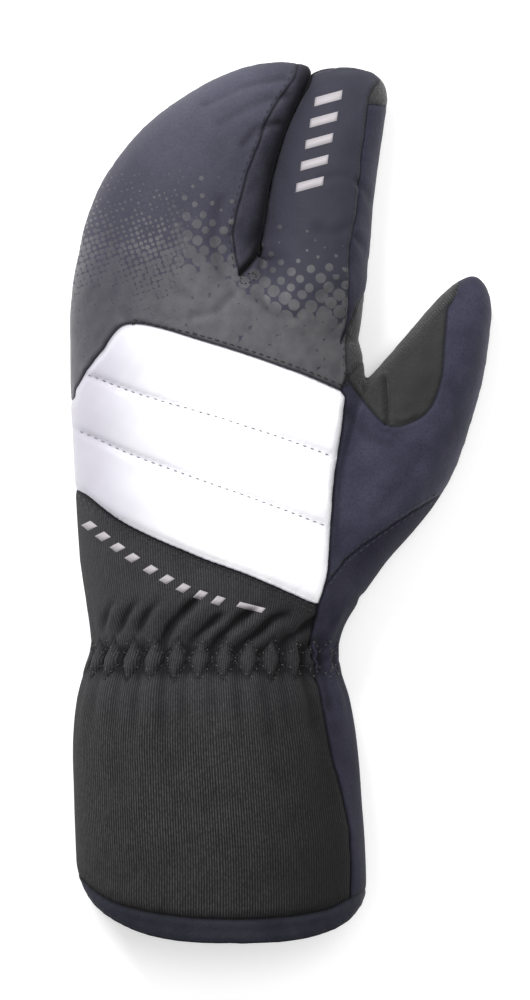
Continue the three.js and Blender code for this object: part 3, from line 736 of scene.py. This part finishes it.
def build_skin():
    """The skin, and for each point its place before the relief, share of the girth and painted shade."""
    base, tris = joined_skin()
    aside = (base[:, 1] > SPLIT_BOTTOM) & (
        base[:, 0] > split_x(base[:, 1]) + split_shift(base[:, 1]) / 2
    )
    edges = np.unique(np.sort(sides_of(tris), axis=1), axis=0)
    base = relaxed(base, edges, SMOOTHING)
    base[aside, 0] -= split_shift(base[aside, 1])
    away = base[:, 0] - split_x(base[:, 1])
    closing = ramp(base[:, 1] - SPLIT_BOTTOM, -SPLIT_CLOSING_LENGTH, SPLIT_CLOSING_LENGTH)
    closing = SPLIT_CLOSING * closing
    base[:, 0] += np.where(aside, -1, 1) * closing * bell(away, SPLIT_CLOSING_REACH)
    near = np.hypot(base[:, 0] - WRIST_FILLET[0], base[:, 1] - WRIST_FILLET[1])
    base[:, 0] += FILLET_DEPTH * bell(near, FILLET_REACH)
    base[:, 2] = np.maximum(base[:, 2], 0)
    x, y, z = base.T
    normal = normals_of(base, tris)
    girth = girth_share(base)
    wrist, dark = wrist_relief(base, girth)
    relief = quilt_relief(base) + wrist
    relief += sum(height * waves(x, y, size, seed) for height, size, seed in SWELLS)
    share, beside, spread = CREASE_RIDGE
    for line, depth, width in CREASES:
        away = line_distance(x, y, smooth_line(line))
        relief -= depth * bell(away, width)
        relief += share * depth * bell(away - beside * width, spread * width)
    above = ramp(z, *RELIEF_RISE)
    relief = relief * above * np.clip(0.1 + 1.3 * np.abs(normal[:, 2]), 0, 1)
    moved = base + normal * relief[:, None]
    moved[:, 2] = np.maximum(moved[:, 2], 0)

    def below_neighbours(points):
        return np.einsum("ij,ij->i", relaxed(points, edges, 1, HOLLOW_ROUNDS) - points, normal)

    # How far the relief sinks each point below its neighbours, made into painted shade in the hollows; the
    # painted shade of the pinches is added
    hollow_shade = below_neighbours(moved) - below_neighbours(base)
    return moved, tris, base, girth, ramp(hollow_shade, 0, HOLLOW_DEPTH) * above + dark * above


moved, tris, base, girth, hollow_shade = build_skin()

# The columns of data carried through the cuts: place, base place, rib coordinate, painted shade
data = np.concatenate([moved, base, (girth * REFERENCE_GIRTH)[:, None], hollow_shade[:, None]], axis=1)

# Nothing lies beyond the rounded hem
beyond = outline(
    ((-0.3, -0.2), (-0.3, HEM_DEPTH)), hem_arc(), ((1.6, HEM_DEPTH), (1.6, -0.2)),
)
data, _, rest = split_by(data, tris, polygon_distance(data[:, 3], data[:, 4], beyond))

panel_tris = {}
for name, spaces in PANELS:
    field = np.max([block(data[:, 3:6], *space) for space in spaces], axis=0)
    data, taken, rest = split_by(data, rest, field)
    panel_tris[name] = taken
panel_tris["palm_panel"] = rest
skin_normal = normals_of(data[:, :3], np.concatenate(list(panel_tris.values())))

# Panels

# Each panel's edge profile: lift and width of the turned edge, depth and width of the seam groove
EDGES = {
    "hem_band": (0.45, 2.2, 0.9, 1.1),
    "reflective_panel": (0.0, 1.0, 0.9, 1.3),
    "cuff_back": (0.1, 1.6, 1.0, 1.5),
    "thumb_patch": (0.25, 1.2, 0.4, 0.6),
    "split_gusset": (0.0, 1.0, 0.35, 0.8),
    "index_side": (0.1, 1.2, 0.7, 1.1),
    "thumb_back": (0.1, 1.5, 0.4, 0.7),
    "back_panel": (0.3, 1.3, 0.4, 0.7),
    "cuff_palm": (0.15, 1.5, 0.45, 0.9),
    "palm_panel": (0.2, 1.5, 0.6, 0.9),
}

# Shade that gathers along a seam: panel, seam line, reach in mm and strength
SHADES = [
    ("split_gusset", SPLIT_LINE, 6.5, 1.0),
    ("split_gusset", SPLIT_LINE[:3], 3.6, 0.8),
    ("back_panel", SPLIT_LINE[:3], 1.3, 0.6),
    ("cuff_back", HEM_SEAM, 4.5, 0.7),
    ("cuff_back", REFLECTIVE_LOW, 3.0, 0.35),
    ("index_side", INDEX_SIDE, 3.0, 0.4),
]


def shade_at_seams(name, x, y):
    total = np.zeros(len(x))
    for panel, line, reach, strength in SHADES:
        if panel == name:
            away = line_distance(x, y, smooth_line(line))
            total += strength * np.clip(1 - away / reach, 0, 1) ** 1.4
    return total


def printed(across, along):
    """How strongly the generic printed dots cover the back of the fingers, from 0 to 1."""
    front = 0.93 - 0.14 * across - 0.06 * np.exp(-across / 0.12)
    front = front + 0.012 * np.sin(across * 12 + 2.2)
    return ramp(front, along, 0.2 - 0.07 * across)


def boundary_of(faces):
    """Edges used by one triangle only, in the direction in which that triangle runs."""
    pairs = sides_of(faces)
    key = np.sort(pairs, axis=1)
    _, first, count = np.unique(key, axis=0, return_index=True, return_counts=True)
    return pairs[first[count == 1]]


def nearest(points, targets):
    """The distance from each point to the nearest of the targets."""
    tree = kdtree.KDTree(len(targets))
    for k, target in enumerate(targets):
        tree.insert(target, k)
    tree.balance()
    return np.array([tree.find(p)[2] for p in points])


def panel_object(name, faces):
    """A panel with its turned edges, its thickness and its inner side."""
    used, flat = np.unique(faces, return_inverse=True)
    faces = flat.reshape(-1, 3)
    points = data[used, :3].copy()
    x, y, z = data[used, 3:6].T
    normal = skin_normal[used]
    rim = boundary_of(faces)
    distance = nearest(points, points[np.unique(rim)])
    lift, lift_width, drop, drop_width = EDGES[name]
    height, size, seed = PUCKERS
    pucker = 1 + height * waves(x, y, size, seed)
    level = np.clip(1.3 * np.abs(normal[:, 2]) - 0.1, 0, 1)
    profile = level * lift * pucker * bell(distance - FOLDED_EDGE, lift_width)
    profile += RIPPLE_HEIGHT * (pucker - 1) * bell(distance, RIPPLE_REACH)
    profile -= (SIDE_GROOVE + (1 - SIDE_GROOVE) * level) * drop * bell(distance, drop_width)
    outer = points + normal * (profile * ramp(points[:, 2], 0, LYING))[:, None]
    outer[:, 2] = np.maximum(outer[:, 2], 0)
    inner = points - normal * CLOTH_THICKNESS
    count = len(points)
    a, b = rim.T
    walls = np.concatenate([np.stack([b, a, a + count], 1), np.stack([b, a + count, b + count], 1)])
    everything = np.concatenate([faces, faces[:, ::-1] + count, walls])
    total = len(everything)
    slots = np.zeros(total, np.int32)
    slots[len(faces) : 2 * len(faces)] = 1
    mesh = bpy.data.meshes.new(name + "_cloth")
    mesh.vertices.add(count * 2)
    mesh.loops.add(total * 3)
    mesh.polygons.add(total)
    for rows, label, values in (
        (mesh.vertices, "co", np.concatenate([outer, inner]) / 1000),
        (mesh.loops, "vertex_index", everything.astype(np.int32)),
        (mesh.polygons, "loop_start", np.arange(0, total * 3, 3, dtype=np.int32)),
        (mesh.polygons, "loop_total", np.full(total, 3, np.int32)),
        (mesh.polygons, "material_index", slots),
        (mesh.polygons, "use_smooth", np.ones(total, bool)),
    ):
        rows.foreach_set(label, values.ravel())
    mesh.update(calc_edges=True)
    ends = np.sort(read(mesh.edges, "vertices", 2, np.int32), axis=1).astype(np.int64)
    rims = np.sort(np.concatenate([rim, rim + count]), axis=1)
    sharp = np.isin(ends @ (count * 2, 1), rims @ (count * 2, 1))
    mesh.attributes.new("sharp_edge", "BOOLEAN", "EDGE").data.foreach_set("value", sharp)
    plan = mesh.attributes.new("plan", "FLOAT_VECTOR", "POINT")
    plan.data.foreach_set("vector", np.tile(data[used, 3:6], (2, 1)).ravel())
    across = (x - LEFT_EDGE) / HAND_WIDTH
    along = (y - HEM_END) / MITT_LENGTH
    # The last label is painted shade: in the hollows of the relief, in the pinches, and along the seams in
    # SHADES
    labels = {
        "rib": data[used, 6],
        "edge": distance,
        "print": printed(across, along),
        "across": across,
        "hollow_shade": np.clip(data[used, 7] + shade_at_seams(name, x, y), 0, 1),
    }
    for label, values in labels.items():
        layer = mesh.attributes.new(label, "FLOAT", "POINT")
        layer.data.foreach_set("value", np.tile(values, 2))
    return add(name + "_cloth", mesh), outer, faces


# Finishes


class Finish:
    """A material with short calls for its nodes. Its colours are sRGB in six hexadecimal digits."""

    def __init__(self, name, colour, roughness, sheen=0.0, sheen_tint=(1, 1, 1), specular=0.5):
        self.material = bpy.data.materials.new(name)
        self.material.use_nodes = True
        self.tree = self.material.node_tree
        self.shader = self.tree.nodes["Principled BSDF"].inputs
        constants = {
            "Base Color": colour,
            "Roughness": roughness,
            "Specular IOR Level": specular,
            "Sheen Weight": sheen,
            "Sheen Roughness": SHEEN_ROUGHNESS,
            "Sheen Tint": sheen_tint,
        }
        self.fill(self.shader, constants)
        self.plan = self.attribute("plan", "Vector")

    def fill(self, sockets, values):
        """Links or sets sockets by name or number. Text and tuples are colours."""
        for label, value in values.items():
            if isinstance(value, bpy.types.NodeSocket):
                self.tree.links.new(value, sockets[label])
            elif value is not None:
                value = linear(value) if isinstance(value, str) else value
                sockets[label].default_value = (*value, 1) if isinstance(value, tuple) else value

    def node(self, kind, inputs, **settings):
        """A new node with its settings and filled sockets."""
        node = self.tree.nodes.new("ShaderNode" + kind)
        for label, value in settings.items():
            setattr(node, label, value)
        self.fill(node.inputs, inputs)
        return node

    def attribute(self, name, output="Fac"):
        return self.node("Attribute", {}, attribute_name=name).outputs[output]

    def math(self, operation, *values):
        return self.node("Math", dict(enumerate(values)), operation=operation).outputs[0]

    def ranged(self, *limits):
        """A value smoothly carried from one range of numbers to another, by default 0 to 1."""
        inputs = dict(enumerate(limits))
        return self.node("MapRange", inputs, interpolation_type="SMOOTHSTEP").outputs[0]

    def scaled(self, scale):
        return self.node("VectorMath", {0: self.plan, 1: scale}, operation="MULTIPLY").outputs[0]

    def along(self):
        """Place along the mitt in millimetres, from its middle towards the fingertips."""
        return self.node("SeparateXYZ", {0: self.plan}).outputs[1]

    def noise(self, size, detail, stretch=(1, 1, 1)):
        """Noise with features about so many millimetres across."""
        place = self.scaled([s / size for s in stretch])
        inputs = {"Scale": 1.0, "Detail": detail, "Vector": place}
        return self.node("TexNoise", inputs).outputs["Fac"]

    def cells(self, size, randomness=1.0, degrees=None):
        """Cells of so many millimetres; given a turn in degrees they lie flat in plan."""
        place = self.scaled([1 / size] * 3)
        dimensions = "3D"
        if degrees is not None:
            inputs = {"Angle": math.radians(degrees), "Vector": place}
            place = self.node("VectorRotate", inputs, rotation_type="Z_AXIS").outputs[0]
            dimensions = "2D"
        inputs = {"Scale": 1.0, "Randomness": randomness, "Vector": place}
        return self.node("TexVoronoi", inputs, voronoi_dimensions=dimensions)

    def mixed(self, factor, low, high):
        inputs = {"Factor": factor, 6: low, 7: high}
        return self.node("Mix", inputs, data_type="RGBA").outputs[2]

    def patches(self, size, detail, low, high, stretch=(1, 1, 1), end=0.7):
        """Soft patches of two colours."""
        return self.mixed(self.ranged(self.noise(size, detail, stretch), 0.3, end), low, high)

    def seam_shaded(self, colour, reach, dark):
        """The colour with painted shade within so many millimetres of a seam."""
        return self.mixed(self.ranged(self.attribute("edge"), 0.0, reach), dark, colour)

    def bump(self, height, depth, before=None):
        """Relief of so many millimetres between height 0 and 1."""
        inputs = {"Strength": 1.0, "Distance": depth / 1000, "Height": height, "Normal": before}
        return self.node("Bump", inputs).outputs[0]

    def finish(self, colour, normal, roughness=None, shade=0.5):
        """Joins the shader up. Painted shade darkens the hollows of folds, pinches and seams, by the share
        shade.
        """
        depth = self.math("MULTIPLY", self.attribute("hollow_shade"), shade)
        colour = self.mixed(depth, colour, HOLLOW_SHADE_COLOUR)
        self.fill(self.shader, {"Base Color": colour, "Normal": normal, "Roughness": roughness})
        return self.material


def linear(colour):
    """The linear values of an sRGB colour in six hexadecimal digits."""
    shares = [v / 255 for v in bytes.fromhex(colour)]
    return tuple(v / 12.92 if v <= 0.04045 else ((v + 0.055) / 1.055) ** 2.4 for v in shares)


def dimmed(colour, share):
    return tuple(c * share for c in linear(colour))


def cloth_finish(name, dark, light, roughness, sheen, weave=0.55, shade=0.6):
    """Smooth woven shell cloth with faint mottling, and painted shade in its seams."""
    f = Finish(name, light, roughness, sheen, (0.75, 0.76, 0.85), 0.14)
    colour = f.patches(14.0, 4, dark, light)
    speck = f.ranged(f.noise(0.75, 2), 0.4, 0.7, 0.0, 0.4)
    colour = f.mixed(speck, colour, dimmed(dark, 0.6))
    colour = f.seam_shaded(colour, 1.0, dimmed(dark, 0.5))
    grain = f.bump(f.noise(weave, 2), 0.1)
    return f.finish(colour, f.bump(f.noise(4.5, 3), 0.25, grain), shade=shade)


def dots(f, pitch, degrees, strength):
    """Round printed dots that grow and merge as the strength rises. Returns where they lie."""
    cells = f.cells(pitch, 0.3, degrees)
    random = f.node("SeparateColor", {0: cells.outputs["Color"]})
    reach = f.ranged(strength, 0.0, 1.0, 0.1, 0.72)
    reach = f.math("ADD", reach, f.ranged(random.outputs[0], 0, 1, -0.08, 0.08))
    dot = f.ranged(f.math("SUBTRACT", reach, cells.outputs["Distance"]), -0.05, 0.05)
    started = f.math("GREATER_THAN", f.math("ADD", strength, random.outputs[1]), 0.45)
    return f.math("MULTIPLY", dot, f.math("MULTIPLY", started, f.ranged(strength, 0.0, 0.02)))


def softshell_finish():
    """Softshell of the back, with a generic halftone of round dots that merge towards the knuckles."""
    f = Finish("softshell", "464550", 0.72, 0.05, (0.8, 0.8, 0.88), 0.18)
    across = f.attribute("across")
    ground = f.patches(22, 4, "43424f", "4d4c5a")
    # Painted light: the ground is lighter towards the fingertips and darker below them
    ground = f.mixed(f.ranged(f.along(), 105, 145, 0.6, 0), ground, "33323e")
    ground = f.mixed(f.ranged(f.noise(0.8, 2), 0.35, 0.65, 0.22, 0), ground, "262530")
    # Painted shade: darker towards the right side, over the index finger
    ground = f.mixed(f.ranged(across, 0.6, 0.85, 0.0, 0.85), ground, "2e2e39")
    strength = f.attribute("print")
    large_share = f.math("ADD", across, f.math("MULTIPLY", f.noise(9, 2), 0.14))
    large_share = f.ranged(large_share, 0.38, 0.52)
    small = f.math("MULTIPLY", dots(f, 1.9, 70, strength), f.math("SUBTRACT", 1, large_share))
    dot = f.math("ADD", f.math("MULTIPLY", dots(f, 4.4, 40, strength), large_share), small)
    ink = f.patches(5, 4, "515052", "5e5d5e")
    cover = f.math("MULTIPLY", dot, f.ranged(across, 0.1, 0.5, 0.45, 0.7))
    # Printed dots over the ground, with painted shade along the seams
    colour = f.seam_shaded(f.mixed(cover, ground, ink), 1.2, "26262c")
    fine = f.bump(f.noise(6, 3), 0.3, f.bump(f.noise(0.6, 2), 0.07))
    return f.finish(colour, f.bump(dot, 0.08, fine), f.ranged(dot, 0, 1, 0.68, 0.46))


def ribbed_finish():
    """Ribbed knit whose ribs follow the gathers of the wrist."""
    f = Finish("ribbed_knit", "2c2c2e", 0.88, 0.03, (0.8, 0.8, 0.82), 0.14)
    turn = f.math("MULTIPLY", f.attribute("rib"), 2 * math.pi / RIB_PITCH)
    wave = f.math("MULTIPLY_ADD", f.math("SINE", turn), 0.5, 0.5)
    # Painted light on the tops of the ribs and painted shade in the grooves between them
    ground = f.patches(9, 4, "101011", "1a1a1b", (1, 0.35, 1))
    lit = f.patches(0.7, 2, "393839", "535253", (1, 0.6, 1))
    colour = f.mixed(f.math("MULTIPLY", wave, 0.7), ground, lit)
    # Painted light towards the wrist and painted shade towards the hem
    colour = f.mixed(f.ranged(f.along(), -85, -50, 0, 0.25), colour, "48474c")
    colour = f.mixed(f.ranged(f.along(), -140, -100, 0.22, 0), colour, "141415")
    # Painted shade on the right side of the cuff and along its seams
    right = f.ranged(f.attribute("across"), 0.5, 1.0, 0, 0.85)
    colour = f.seam_shaded(f.mixed(right, colour, "141415"), 1.6, "121214")
    knit = f.bump(f.noise(0.5, 2, (1, 0.5, 1)), 0.06)
    return f.finish(colour, f.bump(wave, 0.2, knit), shade=0.75)


def reflective_finish():
    """White reflective cloth: a very fine even grain under a smooth face."""
    f = Finish("reflective", "f0f0f5", 0.42, 0.1, (1, 1, 1), 0.5)
    colour = f.patches(30, 2, "f4f4f9", "fcfcfe")
    # Painted shade: greyer towards the left side, and along the seams
    lit = f.ranged(f.attribute("across"), 0.01, 0.5)
    colour = f.seam_shaded(f.mixed(lit, "b1aeb9", colour), 0.7, "a5a5af")
    grain = f.bump(f.noise(0.4, 1), 0.02)
    return f.finish(colour, f.bump(f.noise(9, 2), 0.08, grain), shade=0.06)


def leather_finish(name, dark, light, roughness, pebble):
    """Leather or suede: pebbled grain, worn lighter patches and painted shade at its seams."""
    f = Finish(name, light, roughness, 0.2, (0.8, 0.8, 0.82), 0.4)
    colour = f.patches(11, 5, dark, light, end=0.72)
    grain = f.ranged(f.cells(pebble).outputs["Distance"], 0.1, 0.75)
    colour = f.mixed(f.math("MULTIPLY", grain, 0.35), colour, dimmed(dark, 0.6))
    colour = f.seam_shaded(colour, 1.3, dimmed(dark, 0.5))
    fibre = f.bump(f.noise(0.45, 3), 0.08)
    return f.finish(colour, f.bump(f.math("SUBTRACT", 1.0, grain), 0.12, fibre), shade=0.8)


def thread_finish(name, colour):
    f = Finish(name, colour, 0.6, 0.1, (1, 1, 1), 0.4)
    place = f.node("TexCoord", {}).outputs["Object"]
    twist = f.node("TexNoise", {"Scale": 2500, "Vector": place}).outputs["Fac"]
    return f.finish(f.mixed(twist, dimmed(colour, 0.7), colour), f.bump(twist, 0.03))


lining = cloth_finish("lining", "1a1a1c", "242426", 0.9, 0.6, 1.1)
navy = cloth_finish("navy_shell", "2e2d3c", "3a3949", 0.76, 0.08)
# A darker copy of the navy shell for the cuff's palm side: painted shade
shaded_navy = cloth_finish("cuff_shell_shaded", "252431", "2e2d3b", 0.8, 0.0)
# A still darker copy of the navy shell for the hem band: painted shade at the cuff's lower end
hem = cloth_finish("hem_shell_shaded", "1f1f29", "282832", 0.76, 0.05)
suede = leather_finish("suede", "212122", "2e2e2e", 0.85, 0.7)
gusset = cloth_finish("gusset_knit", "393843", "484753", 0.8, 0.05, shade=0.97)
leather = leather_finish("leather", "242426", "333335", 0.7, 1.1)
FINISHES = {
    "hem_band": (hem, "hem"),
    "reflective_panel": (reflective_finish(), "reflective"),
    "cuff_back": (ribbed_finish(), "ribbed"),
    "thumb_patch": (suede, "suede"),
    "split_gusset": (gusset, "gusset"),
    "index_side": (navy, "navy"),
    "thumb_back": (navy, "navy"),
    "back_panel": (softshell_finish(), "softshell"),
    "cuff_palm": (shaded_navy, "navy"),
    "palm_panel": (leather, "leather"),
}

surface_points, surface_tris, start = [], [], 0
for name, faces in panel_tris.items():
    material, slot = FINISHES[name]
    piece, outer, outer_faces = panel_object(name, faces)
    piece.data.materials.append(material)
    piece.data.materials.append(lining)
    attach(piece, "root")
    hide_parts(name)
    surface_points.append(outer)
    surface_tris.append(outer_faces + start)
    start += len(outer)
surface = BVHTree.FromPolygons(
    np.concatenate(surface_points).tolist(), np.concatenate(surface_tris).tolist()
)


# Stitches and print


def on_surface(x, y):
    """The point of the mitt's upper side over a plan point, and its normal."""
    hit, normal, _, _ = surface.ray_cast(Vector((x, y, 120)), Vector((0, 0, -1)))
    if hit is None:
        return None, None
    if normal.z < 0:
        normal = -normal
    return np.array(hit), np.array(normal)


class Strands:
    """Short threads gathered into one mesh."""

    def __init__(self, name, material, slot):
        self.name = name
        self.material = material
        self.slot = slot
        self.points = []
        self.faces = []

    def tube(self, path, radius, sides=6):
        """A round thread along a path of points, thinner and closed at both ends."""
        path = np.array(path)
        start = len(self.points)
        for i, (p, t) in enumerate(zip(path, directions(path))):
            side = np.cross(t, (0, 0, 1.0))
            side /= max(np.linalg.norm(side), 1e-9)
            up = np.cross(side, t)
            r = radius * (THREAD_TIP if i in (0, len(path) - 1) else 1)
            for k in range(sides):
                turn = 2 * math.pi * k / sides
                self.points.append(p + r * (math.cos(turn) * side + math.sin(turn) * up))
        for i in range(len(path) - 1):
            for k in range(sides):
                n = (k + 1) % sides
                a, b = start + i * sides, start + (i + 1) * sides
                self.faces.append((a + k, a + n, b + n, b + k))
        self.faces.append(tuple(start + k for k in reversed(range(sides))))
        last = start + (len(path) - 1) * sides
        self.faces.append(tuple(last + k for k in range(sides)))

    def stitches(self, line, length, period, radius, shift=0.0, sunk=0.05):
        """A row of bowed stitches along a plan line, moved sideways by shift."""
        place = run_length(line)
        tangent = directions(line)
        row = line + shift * np.stack([-tangent[:, 1], tangent[:, 0]], 1)
        at = period / 2
        while at < place[-1] - length / 2:
            path = []
            for t in np.linspace(-0.5, 0.5, 4):
                x, y = (np.interp(at + t * length, place, row[:, k]) for k in (0, 1))
                hit, normal = on_surface(x, y)
                if hit is not None and normal[2] >= STEEPEST:
                    bow = radius * (0.7 - 2.6 * t * t * 1.6)
                    path.append(hit + normal * (bow - sunk))
            if len(path) == 4:
                self.tube(path, radius)
            at += period

    def thread(self, plan_points, radius, step, lift):
        """One thread laid over the surface through plan points."""
        path = []
        for (x0, y0), (x1, y1) in zip(plan_points[:-1], plan_points[1:]):
            count = max(2, int(math.hypot(x1 - x0, y1 - y0) / step))
            for t in np.arange(count) / count:
                hit, normal = on_surface(x0 + (x1 - x0) * t, y0 + (y1 - y0) * t)
                if hit is not None and normal[2] > 0.1:
                    path.append(hit + normal * lift)
        if len(path) > 3:
            self.tube(path, radius, 5)

    def made(self):
        mesh = bpy.data.meshes.new(self.name)
        mesh.from_pydata((np.array(self.points) / 1000).tolist(), [], self.faces)
        for polygon in mesh.polygons:
            polygon.use_smooth = len(polygon.vertices) == 4
        mesh.update()
        obj = add(self.name, mesh)
        mesh.materials.append(self.material)
        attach(obj, "root")


grey_thread = thread_finish("grey_thread", "787882")
pale_thread = thread_finish("pale_thread", "706f70")
dark_thread = thread_finish("dark_thread", "17171b")
soft_thread = thread_finish("soft_thread", "424246")
navy_thread = thread_finish("navy_thread", "22222b")

quilting = Strands("quilting_stitches", grey_thread, "reflective")
for line in QUILT_LINES:
    path = smooth_line(line)
    inside = polygon_distance(path[:, 0], path[:, 1], WHITE_OUTLINE) > 0.8
    quilting.stitches(path[inside], 1.45, 2.66, 0.2)
quilting.made()

topstitching = Strands("topstitching", dark_thread, "softshell")
for line, length, period, radius, shift in (
    (REFLECTIVE_TOP[5:], 1.9, 2.6, 0.26, 1.5),
    (REFLECTIVE_LOW[:-1], 1.7, 2.3, 0.24, 1.0),
    (REFLECTIVE_LOW[:-1], 1.7, 2.5, 0.22, 2.6),
    (POCKET_SIDE[1:], 1.6, 2.7, 0.17, -1.4),
    (INDEX_SIDE[1:], 1.4, 2.7, 0.14, -0.9),
    ([(0.708, 0.872), (0.703, 0.85), (0.7, 0.82)], 1.5, 2.6, 0.18, 0.0),
):
    topstitching.stitches(smooth_line(line), length, period, radius, shift)
topstitching.made()


def bar_tack(strands, x, y, length, width, angle):
    """A dense zigzag of thread that locks the end of a seam."""
    turns = int(length / 0.45)
    path = []
    for k in range(turns + 1):
        sideways = width / 2 * (1 if k % 2 else -1)
        path.append(turned(x, y, angle, -length / 2 + k * length / turns, sideways))
    strands.thread(path, 0.2, 0.5, 0.2)


def tack_ring(strands, x, y, length, width, angle, count):
    """Short stitches in an oval ring."""
    for k in range(count):
        path = []
        for turn in 2 * math.pi * (k + np.linspace(0, 0.58, 4)) / count:
            oval = length / 2 * math.cos(turn), width / 2 * math.sin(turn)
            path.append(turned(x, y, angle, *oval))
        strands.thread(path, 0.22, 0.2, 0.12)


seams = Strands("thumb_stitching", navy_thread, "navy")
for shift in (-0.9, 0.9):
    seams.stitches(thumb_seam, 1.8, 2.6, 0.2, shift)
seams.made()

whipping = Strands("thumb_edge_whipping", soft_thread, "suede")
edge_line = smooth_line(THUMB_EDGE, 0.25)
along_edge = directions(edge_line)
for k in range(2, len(edge_line) - 2, 4):
    out = np.array([-along_edge[k, 1], along_edge[k, 0]])
    start, end = edge_line[k] - 2.2 * out, edge_line[k] - 0.1 * out + 0.4 * along_edge[k]
    whipping.thread([start, end], 0.16, 0.5, 0.02)
whipping.made()

tacks = Strands("bar_tacks", dark_thread, "gusset")
tack_ring(tacks, *spot(0.612, 0.752), 5.8, 3.0, 25, 11)
bar_tack(tacks, *spot(0.948, 0.638), 5.0, 1.8, 80)
tacks.made()

# The zigzag of the elastic crosses at each pinch and peaks over each puff
zigzag = Strands("elastic_zigzag", dark_thread, "ribbed")
needle_points = Strands("elastic_needle_points", pale_thread, "ribbed")
level = spot(0, ELASTIC_ALONG)[1]
row = []
for x in np.arange(-66, 24.5, 0.4):
    hit, _ = on_surface(x, level)
    if hit is not None:
        row.append((x, level, hit[2]))
row = np.array(row)
heights = ELASTIC_HALF * PUFF_SPREAD * puff_place(puff_phase(girth_share(row)))
for side in (1, -1):
    path = np.stack([row[:, 0], level + side * heights], 1)
    zigzag.stitches(path, 1.6, 2.3, 0.24)
    needle_points.stitches(path + (0.5, 0), 0.35, 3.1, 0.15, sunk=-0.08)
zigzag.made()
needle_points.made()


class Prints(Strands):
    """Thin printed bars that lie on the cloth."""

    def bar(self, x, y, length, width, angle, slant):
        """A bar centred on a plan point; slant leans its ends, as a share of its width."""
        cells = max(3, int(length / 0.8))
        start = len(self.points)
        for i in range(cells + 1):
            for v in (-0.5, 0.0, 0.5):
                u = -length / 2 + length * i / cells + slant * v * width
                hit, normal = on_surface(*turned(x, y, angle, u, v * width))
                self.points.append(hit + normal * 0.14)
                self.points.append(hit - normal * 0.1)
        for i in range(cells):
            a, b = start + i * 6, start + (i + 1) * 6
            self.faces += [(a, b, b + 2, a + 2), (a + 2, b + 2, b + 4, a + 4)]
            self.faces += [(a + 1, a + 3, b + 3, b + 1), (a + 3, a + 5, b + 5, b + 3)]
            self.faces += [(a, a + 1, b + 1, b), (a + 4, b + 4, b + 5, a + 5)]
        for a, flip in ((start, False), (start + cells * 6, True)):
            ends = [(a, a + 2, a + 3, a + 1), (a + 2, a + 4, a + 5, a + 3)]
            self.faces += [face[::-1] for face in ends] if flip else ends


silver = Finish("silver_print", "a6a1a5", 0.5, specular=0.4).material
bars = Prints("silver_bars", silver, "reflective")
for k in range(5):
    bars.bar(*spot(0.888 - 0.016 * k, 0.957 - 0.0245 * k), 9.6, 2.9, 15, 0.4)
cuff_line = smooth_line([(0.06, 0.474), (0.15, 0.451), (0.27, 0.424), (0.40, 0.400), (0.53, 0.385)])
slope = np.degrees(np.arctan2(*np.gradient(cuff_line, axis=0).T[::-1]))
for share in np.linspace(0.03, 0.97, 9):
    k = int(share * (len(cuff_line) - 1))
    bars.bar(*cuff_line[k], 3.0, 3.1, slope[k], 0.5)
bars.bar(*spot(0.622, 0.3795), 9.0, 1.9, -14, 0.5)
bars.made()


# Stage, light and camera, in metres

FLOOR_SIDE = 15.0
FLOOR_LEVEL = -0.0002
CAMERA_HEIGHT = 6.0
SHARP_LEVEL = 0.02
FRAME_HEIGHT = 0.3409
SENSOR = 36

ends = [(x * FLOOR_SIDE, y * FLOOR_SIDE, 0) for x, y in ((-1, -1), (1, -1), (1, 1), (-1, 1))]
floor_mesh = bpy.data.meshes.new("floor")
floor_mesh.from_pydata(ends, [], [(0, 1, 2, 3)])
floor = add("floor", floor_mesh)
floor.location.z = FLOOR_LEVEL
pale = Finish("pale_floor", (0.93, 0.93, 0.93), 0.7)
pale.fill(pale.shader, {"Emission Color": (1, 1, 1), "Emission Strength": 0.36})
floor_mesh.materials.append(pale.material)

world = bpy.data.worlds.new("studio")
world.use_nodes = True
background = world.node_tree.nodes["Background"].inputs
background["Color"].default_value = (1, 1, 1, 1)
background["Strength"].default_value = 0.5
bpy.context.scene.world = world
bpy.context.scene.view_settings.view_transform = "Standard"


def soft_light(name, place, size, energy):
    light = bpy.data.lights.new(name, "AREA")
    light.size = size
    light.energy = energy
    lamp = add(name, light)
    lamp.location = place
    lamp.rotation_euler = (-Vector(place)).to_track_quat("-Z", "Y").to_euler()


soft_light("key", (-0.4, 0.75, 0.85), 0.45, 11.5)
soft_light("overhead", (0.25, 0.1, 1.9), 0.7, 12)

lens = bpy.data.cameras.new("camera")
lens.sensor_width = SENSOR
lens.lens = SENSOR * (CAMERA_HEIGHT - SHARP_LEVEL) / FRAME_HEIGHT
lens.clip_end = 60
camera = add("camera", lens)
camera.location = (-0.00545, 0.0003, CAMERA_HEIGHT)
bpy.context.scene.camera = camera
